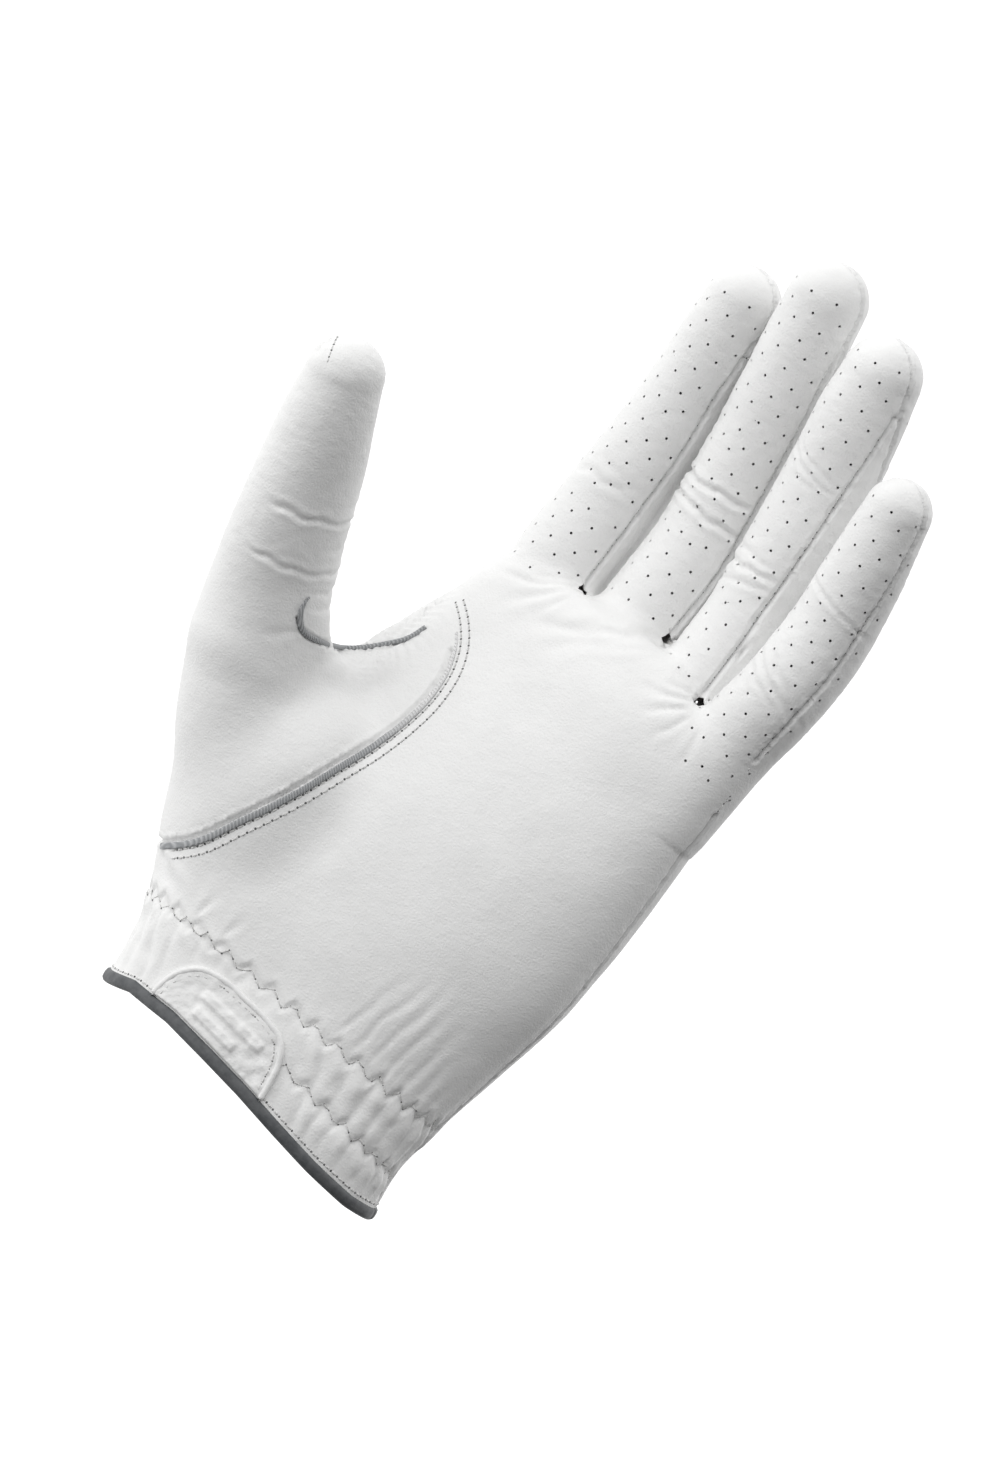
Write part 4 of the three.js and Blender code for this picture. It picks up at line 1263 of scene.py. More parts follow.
# A near-black material: painted shade, worn by the dots in the needle holes and by the cords down in the
# seams' grooves.
def painted_shade():
    m = Material("painted_shade", (0.12, 0.12, 0.12), 0.9)
    m.colours(m.spread(m.noise(900, 3), 0.35, 0.65, 0, 1), (0.08, 0.08, 0.08), (0.18, 0.18, 0.18))
    m.bump(m.noise(2000, 3), 0.00005)
    return m.material


def hook_tape(name, low, high, scale):
    m = Material(name, low, 0.9)
    m.colours(m.cells(scale, feature="F1"), low, high)
    m.bump(m.noise(scale * 0.8, 4), 0.0004)
    return m.material


def rubber():
    m = Material("grey_rubber", (0.2, 0.2, 0.21), 0.45)
    m.colours(m.spread(m.noise(300, 4), 0.35, 0.65, 0, 1), (0.17, 0.17, 0.18), (0.24, 0.24, 0.25))
    m.bump(m.noise(1400, 3), 0.00006)
    return m.material


def label_cloth():
    m = Material("label_cloth", (0.78, 0.78, 0.76), 0.85)
    m.colours(m.waves(1100, "Z"), (0.72, 0.72, 0.70), (0.84, 0.84, 0.82))
    m.bump(m.waves(1100, "Z"), 0.0001)
    return m.material


LEATHER_LOOK = white_leather()
INSIDE_LOOK = suede()
TAPE_LOOK = woven_tape()
BINDING_LOOK = dark_binding()
ELASTIC_LOOK = elastic()
THREAD_LOOK = thread()
PAINTED_SHADE_LOOK = painted_shade()
LOOP_LOOK = hook_tape("loop_tape", (0.70, 0.70, 0.70), (0.85, 0.85, 0.85), 900)
HOOK_LOOK = hook_tape("hook_tape", (0.60, 0.60, 0.60), (0.80, 0.80, 0.80), 1300)
RUBBER_LOOK = rubber()
LABEL_LOOK = label_cloth()


# ---- The leather pieces -----------------------------------------------------------------------------
def blend_ends(joint, way, reach):
    middle = pivot(joint)
    return (middle - way * reach) * MM, (middle + way * reach) * MM


def body_for(piece):
    """The body a panel rides on, or the two that it bends between with the ends of the bend."""
    if piece == "knuckle_leather":
        return "hand", "knuckles", KNUCKLE_UP * KNUCKLE_ZONE[0] * MM, KNUCKLE_UP * KNUCKLE_ZONE[1] * MM
    if piece == "thumb_bend_leather":
        return "hand", "thumb_tip", THUMB_ALONG * THUMB_ZONE[0] * MM, THUMB_ALONG * THUMB_ZONE[1] * MM
    finger = piece.split("_")[0]
    if piece.endswith("bend_leather"):
        digit = digits[finger]
        way = digit.along[nearest(pivot(finger + "_curl")[None], digit.point)[0]]
        return ("knuckles", finger, *blend_ends(finger + "_curl", way, CURLS[finger][1]))
    if piece.startswith("thumb_tip"):
        return ("thumb_tip",)
    if finger in FINGERS and piece not in ("index_middle_fourchette", "middle_ring_fourchette",
                                           "ring_little_fourchette"):
        return (finger,)
    if piece == "finger_roots" or piece.endswith("fourchette"):
        return ("knuckles",)
    return ("hand",)


def attach(obj, piece):
    where = body_for(piece)
    if len(where) == 1:
        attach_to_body(obj, where[0])
    else:
        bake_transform(obj)


def build_leather(verts, quads, quad_panels, triangles, triangle_panels):
    height, out = relief(verts)
    moved = verts + out * height[:, None]
    normals = vertex_normals(moved, [quads, triangles])
    for piece in np.unique(quad_panels):
        q = quads[quad_panels == piece]
        t = triangles[triangle_panels == piece]
        points, faces, directions = shell(moved, normals, q, t, LEATHER)
        obj = mesh_object("leather_" + piece, points, faces, LEATHER_LOOK, directions)
        obj.data.materials.append(INSIDE_LOOK)
        count = len(q) + len(t)
        slots = np.zeros(len(faces), int)
        slots[count:2 * count] = 1
        obj.data.polygons.foreach_set("material_index", slots.tolist())
        attach(obj, piece)
        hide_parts(piece)
    return moved


# ---- Trims ------------------------------------------------------------------------------------------
def on_leather(x, z, side):
    """Points on the wrinkled leather, from the front (side -1) or the back (side 1), and the ways out."""
    points = np.stack([x, surface_y(x, z, side), z], 1)
    height, out = relief(points)
    return points + out * height[:, None], out


def onto_leather(points):
    points = project(points, 3)
    height, out = relief(points)
    return points + out * height[:, None], out


def palm_points(arc, height):
    """Points round the palm: arc in mm from the middle of the front, and height above the cuff."""
    section = spline(PALM[:, 0], PALM[:, 1:], height)
    turn = np.radians(section[:, 4])
    half = (section[:, 1] - section[:, 0]) / 2
    depth = section[:, 2]
    width = np.sqrt(half ** 2 - (depth * np.sin(turn)) ** 2) / np.cos(turn)
    angle = arc / ((width + depth) / 2)
    s, c = np.sin(angle), np.cos(angle)
    far = 1 / (np.abs(s) ** SQUARENESS + np.abs(c) ** SQUARENESS) ** (1 / SQUARENESS)
    u, v = width * far * s, depth * far * c
    dx = u * np.cos(turn) - v * np.sin(turn)
    dy = -u * np.sin(turn) - v * np.cos(turn)
    z = height + section[:, 5] * dx + section[:, 6] * dy
    return np.stack([(section[:, 0] + section[:, 1]) / 2 + dx, section[:, 3] + dy, z], 1)


SIDE_ARC = 34.0  # about where the side seam is, for palm_points
DIGIT_REACH = 9  # from a digit's axis to about its surface


def palm_girth(height):
    """Half the way round the palm, in the arc measure of palm_points."""
    section = spline(PALM[:, 0], PALM[:, 1:], np.array([float(height)]))[0]
    turn = math.radians(section[4])
    half = (section[1] - section[0]) / 2
    width = math.sqrt(half ** 2 - (section[2] * math.sin(turn)) ** 2) / math.cos(turn)
    return math.pi * (width + section[2]) / 2


def spaced(points, pitch):
    """The same path with points an even pitch apart."""
    knots = np.r_[0, np.cumsum(np.linalg.norm(np.diff(points, axis=0), axis=1))]
    count = max(int(round(knots[-1] / pitch)), 1)
    at = np.linspace(0, knots[-1], count + 1)
    return np.stack([np.interp(at, knots, points[:, k]) for k in range(points.shape[1])], 1)


def smooth_path(points, pitch):
    points = np.array(points, float)
    knots = np.r_[0, np.cumsum(np.linalg.norm(np.diff(points, axis=0), axis=1))]
    return spaced(spline(knots, points, np.linspace(0, knots[-1], 400)), pitch)


def offset_line(line, off, first=0.0, last=1.0):
    """A path beside a seam line in the front view, to its left where off is positive."""
    sideways = np.stack([-line.way[:, 1], line.way[:, 0]], 1)
    on = (line.along >= first * line.length) & (line.along <= last * line.length)
    return (line.path + sideways * off)[on]


def sweep(points, normals, section, closed=False, scale=None):
    """A closed tube: the section's (sideways, outwards) points carried along the path."""
    way = unit(np.gradient(points, axis=0))
    if closed:
        way = unit(np.roll(points, -1, axis=0) - np.roll(points, 1, axis=0))
    sideways = unit(np.cross(way, normals))
    outwards = np.cross(sideways, way)
    n, m = len(points), len(section)
    scale = np.ones(n) if scale is None else scale
    ring = (points[:, None] + sideways[:, None] * (section[:, 0] * scale[:, None])[..., None]
            + outwards[:, None] * (section[:, 1] * scale[:, None])[..., None])
    faces = []
    for i in range(n if closed else n - 1):
        j = (i + 1) % n
        for k in range(m):
            l = (k + 1) % m
            faces.append((i * m + k, i * m + l, j * m + l, j * m + k))
    if not closed:
        faces.append(tuple(range(m - 1, -1, -1)))
        faces.append(tuple((n - 1) * m + k for k in range(m)))
    return ring.reshape(-1, 3), faces


def oval(half_width, half_height, lift=0.0, sides=12, power=2.0):
    a = np.arange(sides) * 2 * math.pi / sides
    c, s = np.cos(a), np.sin(a)
    far = 1 / (np.abs(c) ** power + np.abs(s) ** power) ** (1 / power)
    return np.stack([half_width * c * far, half_height * s * far + lift], 1)


def join(parts):
    verts, faces, base = [], [], 0
    for points, polygons in parts:
        verts.append(points)
        faces += [tuple(i + base for i in f) for f in polygons]
        base += len(points)
    return np.vstack(verts), faces


def plate(lower, upper, side, low, high, rows, raised=None, round_off=0.5):
    """A thin plate lying on the leather between two paths in the front view, with a rounded edge."""
    t = np.linspace(0, 1, rows)
    t = np.sort(np.r_[t, 0.012, 0.03, 0.97, 0.988])
    s = np.linspace(0, 1, len(lower))
    grid = lower[:, None] + (upper - lower)[:, None] * t[None, :, None]
    n, m = grid.shape[:2]
    flat = grid.reshape(-1, 2)
    points, out = on_leather(flat[:, 0], flat[:, 1], side)
    edge = np.full((n, m), 99.0)
    step_s = np.linalg.norm(np.diff(grid, axis=0), axis=2)
    step_t = np.linalg.norm(np.diff(grid, axis=1), axis=2)
    edge[1:] = np.minimum(edge[1:], np.cumsum(step_s, axis=0))
    edge[:-1] = np.minimum(edge[:-1], np.cumsum(step_s[::-1], axis=0)[::-1])
    edge[:, 1:] = np.minimum(edge[:, 1:], np.cumsum(step_t, axis=1))
    edge[:, :-1] = np.minimum(edge[:, :-1], np.cumsum(step_t[:, ::-1], axis=1)[:, ::-1])
    edge[0], edge[-1], edge[:, 0], edge[:, -1] = 0, 0, 0, 0
    inward = np.clip(1 - edge.ravel() / round_off, 0, 1)
    rise = np.sqrt(1 - inward ** 2)
    top = low + (high - low) * (0.35 + 0.65 * rise)
    if raised is not None:
        top = top + raised(flat[:, 0], flat[:, 1]) * rise
    upper_points = points + out * top[:, None]
    under_points = points + out * low
    index = np.arange(n * m).reshape(n, m)
    quads = np.stack([index[:-1, :-1], index[1:, :-1], index[1:, 1:], index[:-1, 1:]], -1).reshape(-1, 4)
    a, b, c = upper_points[quads[0][0]], upper_points[quads[0][1]], upper_points[quads[0][2]]
    outward = np.cross(b - a, c - b) @ out[quads[0][0]] > 0
    if not outward:
        quads = quads[:, ::-1]
    faces = [tuple(f) for f in quads] + [tuple(int(i) + n * m for i in reversed(f)) for f in quads]
    edges = set()
    for f in quads.tolist():
        edges.update(zip(f, f[1:] + f[:1]))
    faces += [(b, a, a + n * m, b + n * m) for a, b in edges if (b, a) not in edges]
    return np.vstack([upper_points, under_points]), faces


def rounded_box(x0, x1, z0, z1, corner, pitch=0.8):
    """Lower and upper paths of a rectangle with rounded corners, for plate."""
    x = np.arange(x0, x1 + pitch * 0.5, pitch)
    x[-1] = x1
    x = np.sort(np.r_[x, x0 + 0.15, x0 + 0.4, x1 - 0.15, x1 - 0.4])
    inward = np.clip(corner - np.minimum(x - x0, x1 - x), 0, corner)
    cut = corner - np.sqrt(np.maximum(corner ** 2 - inward ** 2, 0))
    return np.stack([x, z0 + cut], 1), np.stack([x, z1 - cut], 1)


def segment_of(points):
    """The name of the leather segment that each point belongs to."""
    names = np.full(len(points), "hand", dtype="U12")
    thumbward = points[:, 0] < -38
    at = points @ THUMB_ALONG
    names[thumbward & (at > THUMB_ZONE[0])] = "thumb_bend"
    names[thumbward & (at > THUMB_ZONE[1])] = "thumb_tip"
    up = points @ KNUCKLE_UP
    names[~thumbward & (up > KNUCKLE_ZONE[0])] = "knuckle_fold"
    high = ~thumbward & (up > KNUCKLE_ZONE[1])
    names[high] = "knuckles"
    if high.any():
        owner = owners(points)
        for i, name in enumerate(FINGERS):
            digit = digits[name]
            middle = pivot(name + "_curl")
            way = digit.along[nearest(middle[None], digit.point)[0]]
            t = points @ way - way @ middle
            mine = high & (owner == i)
            names[mine & (t > -CURLS[name][1])] = name + "_bend"
            names[mine & (t > CURLS[name][1])] = name
    return names


SEGMENT_PIECES = {"hand": "palm_panel", "knuckle_fold": "knuckle_leather", "knuckles": "finger_roots",
                  "thumb_bend": "thumb_bend_leather", "thumb_tip": "thumb_tip_front"}
for finger in FINGERS:
    SEGMENT_PIECES[finger + "_bend"] = finger + "_bend_leather"
    SEGMENT_PIECES[finger] = finger + "_front"


class Sewing:
    """Collects stitches, each a short length of thread with a needle hole at either end, the holes drawn as
    dark dots of painted shade; and dark cords of painted shade for the bottoms of seams.
    """

    def __init__(self):
        self.stitches = []  # middle, way, normal, half length, radius
        self.holes = []  # middle, normal, radius
        self.groove_shades = []  # dark cords of painted shade down in a seam's groove, kept as stitches are

    def row(self, points, normals, pitch=1.8, radius=0.17, fill=0.66, hole=0.2, sunk=0.0):
        """Stitches along a path on the leather; with no thread showing, fill is 0."""
        path = spaced(np.hstack([points, normals]), pitch)
        places, out = path[:, :3], unit(path[:, 3:])
        way = unit(np.diff(places, axis=0))
        middle = (places[1:] + places[:-1]) / 2
        normal = unit(out[1:] + out[:-1])
        for m, w, n in zip(middle, way, normal):
            if fill:
                self.stitches.append((m + n * (radius * 0.35 - sunk), w, n, pitch * fill / 2, radius))
            if hole:
                self.holes.append((m + w * pitch / 2 - n * sunk, n, hole))

    def groove_shade(self, points, normals, radius=0.13, sunk=0.3):
        """A dark cord all along the bottom of a seam, standing for the shade in its groove: painted shade.
        """
        path = spaced(np.hstack([points, normals]), 1.2)
        places, out = path[:, :3], unit(path[:, 3:])
        way = unit(np.diff(places, axis=0))
        for m, w, n in zip((places[1:] + places[:-1]) / 2, way, unit(out[1:] + out[:-1])):
            self.groove_shades.append((m - n * sunk, w, n, 0.66, radius))

    def seam(self, points, normals):
        """A finger's seam: fine stitches across a dark cord of painted shade in the groove."""
        self.row(points, normals, 1.5, 0.11, 0.5, 0.15, 0.05)
        self.groove_shade(points, normals)

    def build(self):
        template, faces = capsule()
        self.make("stitching", self.stitches, template, faces, THREAD_LOOK)
        # The seams' dark cords: painted shade in the grooves.
        self.make("seam_groove_shade", self.groove_shades, template, faces, PAINTED_SHADE_LOOK)
        # Dark dots at the needle holes: painted shade in the holes.
        dots = [(m, unit(np.cross(n, (0.31, 0.2, 0.93))[None])[0], n, r, r) for m, n, r in self.holes]
        template, faces = button()
        self.make("hole_shade_dots", dots, template, faces, PAINTED_SHADE_LOOK)

    def make(self, label, items, template, faces, look):
        middles = np.array([i[0] for i in items])
        ways = np.array([i[1] for i in items])
        normals = np.array([i[2] for i in items])
        half_lengths = np.array([i[3] for i in items])
        radii = np.array([i[4] for i in items])
        sides = unit(np.cross(normals, ways))
        segments = segment_of(middles)
        for segment in np.unique(segments):
            mine = np.nonzero(segments == segment)[0]
            parts = []
            for k in mine:
                size = np.array([half_lengths[k], radii[k], radii[k]])
                parts.append((placed(template * size, middles[k], ways[k], sides[k], normals[k]), faces))
            obj = mesh_object(label + "_" + segment, *join(parts), look)
            attach(obj, SEGMENT_PIECES[segment])


def placed(shape, middle, way, side, normal):
    """A shape's points carried to a place on the leather."""
    return middle + shape[:, :1] * way + shape[:, 1:2] * side + shape[:, 2:] * normal


def capsule(rings=5, sides=6):
    """A unit thread: along x from -1 to 1, arched so that its ends dip into the leather."""
    points, faces = [(-1, 0, -0.6)], []
    for i in range(rings):
        x = -0.92 + 1.84 * i / (rings - 1)
        r = math.sqrt(1 - (0.9 * x) ** 4)
        lift = -0.9 * x ** 4
        for k in range(sides):
            a = 2 * math.pi * k / sides
            points.append((x, r * math.cos(a), r * math.sin(a) + lift))
    points.append((1, 0, -0.6))
    last = len(points) - 1
    for k in range(sides):
        l = (k + 1) % sides
        faces.append((0, 1 + l, 1 + k))
        for i in range(rings - 1):
            base = 1 + i * sides
            faces.append((base + k, base + l, base + sides + l, base + sides + k))
        base = 1 + (rings - 1) * sides
        faces.append((last, base + k, base + l))
    return np.array(points, float), faces


def button(sides=8):
    """A flat dark dot that shows as a needle hole: painted shade in the hole."""
    points = [(0, 0, 0.25)]
    for r, h in ((0.7, 0.2), (1, 0), (0.6, -0.8)):
        points += [(r * math.cos(2 * math.pi * k / sides), r * math.sin(2 * math.pi * k / sides), h)
                   for k in range(sides)]
    points.append((0, 0, -0.9))
    faces = []
    for k in range(sides):
        l = (k + 1) % sides
        faces.append((0, 1 + k, 1 + l))
        for i in range(2):
            base = 1 + i * sides
            faces.append((base + k, base + sides + k, base + sides + l, base + l))
        faces.append((len(points) - 1, 1 + 2 * sides + l, 1 + 2 * sides + k))
    return np.array(points, float), faces


def trim(name, parts, look, body, nodes=()):
    obj = mesh_object(name, *join(parts), look)
    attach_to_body(obj, body)
    if nodes:
        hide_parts(*nodes)
    return obj


def build_thenar_tape():
    """The grey woven tape laid over the thumb seam: it narrows away towards the web."""
    flat = spaced(offset_line(thumb_seam, -0.95, 0.0, 0.93), 0.7)
    points, out = on_leather(flat[:, 0], flat[:, 1], -1)
    t = np.linspace(0, 1, len(points))
    scale = 1 - 0.55 * smoothstep(0.72, 1, t)
    ribs = 1 + 0.05 * np.sin(np.arange(len(points)) * 2.6)
    trim("thenar_tape", [sweep(points, out, oval(0.68, 0.26, 0.08, 12, 3.2), scale=scale * ribs)],
         TAPE_LOOK, "hand", ["thenar_piping"])


def build_web_binding():
    flat = spaced(offset_line(web_seam, 0.0, 0.02, 1.0), 0.6)
    points = np.stack([flat[:, 0], surface_y(flat[:, 0], flat[:, 1], -1), flat[:, 1]], 1)
    out = unit(gradient(skin_distance, points, 0.1))
    inside = points @ THUMB_ALONG < THUMB_ZONE[0] - 0.5
    points, out = softened(points[inside]), unit(softened(out[inside]))
    scale = 0.35 + 0.65 * smoothstep(0, 0.12, np.linspace(0, 1, len(points)))
    trim("web_binding_tape", [sweep(points, out, oval(0.6, 0.5, 0.0, 12, 2.4), scale=scale)],
         TAPE_LOOK, "hand", ["web_binding"])


def softened(points, times=6):
    """A line of points relaxed along its length, with its ends kept."""
    for _ in range(times):
        middle = (points[:-2] + 2 * points[1:-1] + points[2:]) / 4
        points = np.concatenate([points[:1], middle, points[-1:]])
    return points


def cuff_path(lift, pitch=0.9):
    """Points round the cuff, a height above its edge, from one side of the slit to the other."""
    girth = palm_girth(0)
    arc = np.linspace(-girth, girth, 420)
    points = palm_points(arc, np.full(420, 2.0))
    for _ in range(4):
        points = project(points)
        off = cuff_field(points) - lift
        points = points - np.array([0, 0, 1.0]) * off[:, None]
    points = project(points)
    behind = points[:, 1] > 5
    beside = np.abs(points[:, 0] - SLIT_X) < SLIT_HALF + 0.2
    points = points[~(behind & beside)]
    gap = np.linalg.norm(np.roll(points, -1, axis=0) - points, axis=1)
    points = np.roll(points, -int(np.argmax(gap)) - 1, axis=0)
    return spaced(points, pitch)


def build_bindings(sewing):
    points, out = onto_leather(cuff_path(1.0))
    middle = points - out * (LEATHER / 2)
    section = oval(1.35, 1.0, 0.0, 14, 3.2)
    trim("cuff_binding_tape", [sweep(middle, out, section)],
         BINDING_LOOK, "hand", ["cuff_binding"])
    points, out = onto_leather(cuff_path(3.1))
    sewing.row(points, out, 1.9, 0.18, 0.6, 0.26)
    left, right, top = SLIT_X - SLIT_HALF, SLIT_X + SLIT_HALF, SLIT_TOP - SLIT_HALF
    edge = [[left, 1.5], [left, 20], [left, top]]
    turn = np.linspace(math.pi, 0, 12)[1:-1]
    edge += [[SLIT_X + SLIT_HALF * math.cos(a), top + SLIT_HALF * math.sin(a)] for a in turn]
    edge += [[right, top], [right, 20], [right, 1.5]]
    flat = spaced(np.array(edge), 0.8)
    points, out = on_leather(flat[:, 0], flat[:, 1], 1)
    trim("slit_binding_tape", [sweep(points - out * (LEATHER / 2), out, oval(0.8, 0.85, 0, 12, 3))],
         BINDING_LOOK, "hand", ["slit_binding"])
    flat = spaced(offset_path(np.array(edge), -1.9), 1.9)
    points, out = on_leather(flat[:, 0], flat[:, 1], 1)
    sewing.row(points, out, 1.9, 0.16, 0.6, 0.2)


def offset_path(points, off):
    way = unit(np.gradient(points, axis=0))
    return points + np.stack([way[:, 1], -way[:, 0]], 1) * off


PATCH_TOP = [[-25.5, 5.5], [-25.2, 9], [-24, 13], [-21, 16.4], [-16, 17.6], [-10, 17.2], [-4, 16.4],
             [0.5, 14.6], [2.6, 11], [3.4, 7], [4, 2.4]]


def embossed(x, z):
    """Two raised bars and a raised field between them: a made-up mark, not any maker's."""
    def bar(cx, cz, length, width, slope):
        way = np.array([math.cos(slope), math.sin(slope)])
        along = (x - cx) * way[0] + (z - cz) * way[1]
        off = (z - cz) * way[0] - (x - cx) * way[1]
        inside = np.maximum(np.abs(along) - length, 0) ** 2 + np.maximum(np.abs(off) - width, 0) ** 2
        return np.exp(-inside / 0.12)
    mark = bar(-9.5, 12.2, 7.5, 0.75, -0.12) + bar(-11.5, 8.8, 5.0, 0.7, -0.12)
    dimple = noise.at(np.stack([x / 1.7, z / 1.7, 0 * x], 1))
    return 0.6 * np.minimum(mark, 1) + 0.2 * dimple + 0.1 * noise.at(np.stack([x / 0.8, z / 0.8, 0 * x], 1))


def build_palm_patch(sewing):
    top = smooth_path(PATCH_TOP, 0.5)
    lower_x = np.linspace(top[0, 0], top[-1, 0], len(top))
    lower = np.stack([lower_x, cuff_edge_height(lower_x) + 2.6], 1)
    trim("palm_patch_leather", [plate(lower, top, -1, 0.05, 0.75, 34, embossed, 0.6)],
         LEATHER_LOOK, "hand", ["palm_patch"])
    points, out = on_leather(top[:, 0], top[:, 1], -1)
    clear = top[:, 1] > cuff_edge_height(top[:, 0]) + 2.4
    points, out = points[clear], out[clear]
    wobble = 1 + 0.06 * noise.at(points / 1.3)
    trim("palm_patch_edge", [sweep(points + out * 0.45, out, oval(0.66, 0.62, 0, 12), scale=wobble)],
         LEATHER_LOOK, "hand", ["palm_patch_piping"])
    inner = offset_path(top, 1.25)
    keep = slice(4, -4)
    points, out = on_leather(inner[keep, 0], inner[keep, 1], -1)
    sewing.row(points + out * 0.72, out, 1.7, 0.15, 0.6, 0.17)


def cuff_edge_height(x):
    """The height of the cuff's front edge in the front view."""
    z = np.zeros(len(x))
    for _ in range(6):
        points = np.stack([x, surface_y(x, z, -1), z], 1)
        z = z - cuff_field(points)
    return z


def seam_stitches(sewing):
    """The rows of stitching that show on the leather."""
    for off in (-1.85, -3.5):
        flat = spaced(offset_line(thumb_seam, off, 0.01, 1.0), 0.9)
        points, out = on_leather(flat[:, 0], flat[:, 1], -1)
        sewing.row(points, out, 1.85, 0.2, 0.66, 0.27)
    for row in STEP_ROWS:
        arc = np.arange(row.first, row.last, 0.35)
        points, out = onto_leather(palm_points(arc, row.height(arc)))
        sewing.row(points + out * 0.05, out, 1.9, 0.15, 0.85, 0.2)
    for name in FINGERS:
        digit = digits[name]
        for side in STRIP_SIDES[name]:
            start = float(digit.s_at(crotch_near(name, side) + 1.5))
            s = np.arange(start, digit.length - STRIP_END, 0.8)
            angle = seam_angle(name, side, s) * side
            spot, way = digit.spot(s, angle)
            sewing.seam(*onto_leather(spot + way * DIGIT_REACH))
    little = digits["little"]
    s = np.arange(float(little.s_at(114)), little.length - 2, 0.8)
    angle = np.interp(np.interp(s, little.at, little.point[:, 2]), *zip(*LITTLE_SIDE))
    spot, way = little.spot(s, angle)
    sewing.seam(*onto_leather(spot + way * DIGIT_REACH))
    tip = np.linspace(TIP_STITCHES[0], TIP_STITCHES[1], 12)
    points, out = on_leather(tip[:, 0], tip[:, 1], -1)
    sewing.row(points, out, 1.5, 0.15, 0.6, 0.24)
    corner_binding()
    height = np.arange(9, 108, 0.8)
    points, out = on_side_seam(height)
    sewing.row(points, out, 1.9, 0.14, 0.55, 0.2, 0.0)


def on_side_seam(height):
    """Points on the leather where the front and back panels meet, at heights above the cuff."""
    points = palm_points(np.full(len(height), SIDE_ARC), height)
    for _ in range(4):
        slope = gradient(side_field, points)
        slope = slope / rows_dot(slope, slope)[:, None]
        points = project(points - slope * side_field(points)[:, None])
    return onto_leather(points)


def corner_binding():
    """At the little finger's side the binding turns up the open end of the side seam."""
    height = np.arange(0.5, 11.5, 0.7)
    points, out = on_side_seam(height)
    scale = 1 - 0.6 * smoothstep(0.5, 1, np.linspace(0, 1, len(points)))
    trim("corner_binding_tape", [sweep(points - out * 0.2, out, oval(0.7, 0.6, 0, 10, 2.4), scale=scale)],
         BINDING_LOOK, "hand")


def crotch_near(name, side):
    order = FINGERS.index(name)
    return CROTCHES[min(order if side > 0 else order - 1, 2)][1]


# The closure on the back: a tab that folds over the slit, held by hook and loop.
TAB_BOX = (-15, 27, 8, 33, 10)
ANCHOR_BOX = (-26, -15.4, 8, 33, 3)
LOOP_BOX = (9, 25.5, 10, 31, 3)


def build_closure(sewing):
    loops = fuzz(0.85, 0.13)
    trim("loop_patch_tape", [plate(*rounded_box(*LOOP_BOX), 1, 0.3, 1.05, 26, loops)],
         LOOP_LOOK, "hand", ["loop_patch"])
    trim("hook_patch_tape", [plate(*rounded_box(*LOOP_BOX), 1, 1.45, 2.15, 26, None)],
         HOOK_LOOK, "tab", ["hook_patch"])
    trim("tab_lining_cloth", [plate(*tab_outline(0.6), 1, 2.5, 3.1, 26, None)],
         INSIDE_LOOK, "tab", ["tab_lining"])
    trim("tab_leather", [plate(*tab_outline(0), 1, 3.4, 4.2, 30, tab_puff)],
         LEATHER_LOOK, "tab", ["closure_tab"])
    trim("tab_anchor_leather", [plate(*rounded_box(*ANCHOR_BOX), 1, 0.3, 4.2, 26, None, 0.9)],
         LEATHER_LOOK, "hand", ["tab_anchor"])
    lower, upper = rounded_box(2, 16, 15.5, 25.5, 5, 0.5)
    trim("tab_emblem_rubber", [plate(lower, upper, 1, 4.35, 5.1, 20, emblem_rings)],
         RUBBER_LOOK, "tab", ["tab_emblem"])
    tab_seam()


def tab_outline(inset):
    x0, x1, z0, z1, corner = TAB_BOX
    lower, upper = rounded_box(x0 - corner, x1 - inset, z0 + inset, z1 - inset, corner)
    keep = lower[:, 0] > x0 + 0.05 + inset * 0.3
    return lower[keep], upper[keep]


def tab_puff(x, z):
    """The tab swells a little between its rows of stitching."""
    x0, x1, z0, z1, corner = TAB_BOX
    edge = np.minimum(np.minimum(z - z0, z1 - z), x1 - x)
    return 0.28 * smoothstep(1.2, 3.5, edge) - 0.22 * np.exp(-((edge - 1.5) / 0.45) ** 2)


def emblem_rings(x, z):
    far = np.hypot((x - 9) / 7, (z - 20.5) / 5)
    return 0.22 * np.exp(-((far - 0.72) / 0.07) ** 2) + 0.15 * np.exp(-(far / 0.2) ** 2)


def fuzz(scale, height):
    return lambda x, z: height * fine_noise.at(np.stack([x / scale, z / scale, 0 * x], 1))


def tab_seam():
    """Stitching round the tab's edge, which moves with the tab."""
    x0, x1, z0, z1, corner = TAB_BOX
    lower, upper = tab_outline(1.5)
    path = spaced(np.vstack([lower, upper[::-1]]), 0.9)
    points, out = on_leather(path[:, 0], path[:, 1], 1)
    tab_sewing = Sewing()
    tab_sewing.row(points + out * 4.15, out, 1.9, 0.2, 0.6, 0)
    template, faces = capsule()
    parts = []
    for middle, way, normal, half, radius in tab_sewing.stitches:
        size = np.array([half, radius, radius])
        parts.append((placed(template * size, middle, way, np.cross(normal, way), normal), faces))
    trim("tab_stitching", parts, THREAD_LOOK, "tab")


def build_inside():
    """Elastic drawn inside the wrist, and a blank size label."""
    bands = [("palm_elastic", -30, 28, 9, 19, -1), ("back_elastic_thumb_side", -30, -6, 9, 19, 1),
             ("back_elastic_little_side", 12, 28, 9, 19, 1)]
    for name, x0, x1, z0, z1, side in bands:
        lower, upper = rounded_box(x0, x1, z0, z1, 0.5)
        trim(name + "_band", [plate(lower, upper, side, -2.0, -1.15, 12)],
             ELASTIC_LOOK, "hand", [name])
    lower, upper = rounded_box(-24, -10, 22, 33, 0.6)
    trim("size_label_cloth", [plate(lower, upper, 1, -1.9, -1.2, 12)],
         LABEL_LOOK, "hand", ["size_label"])


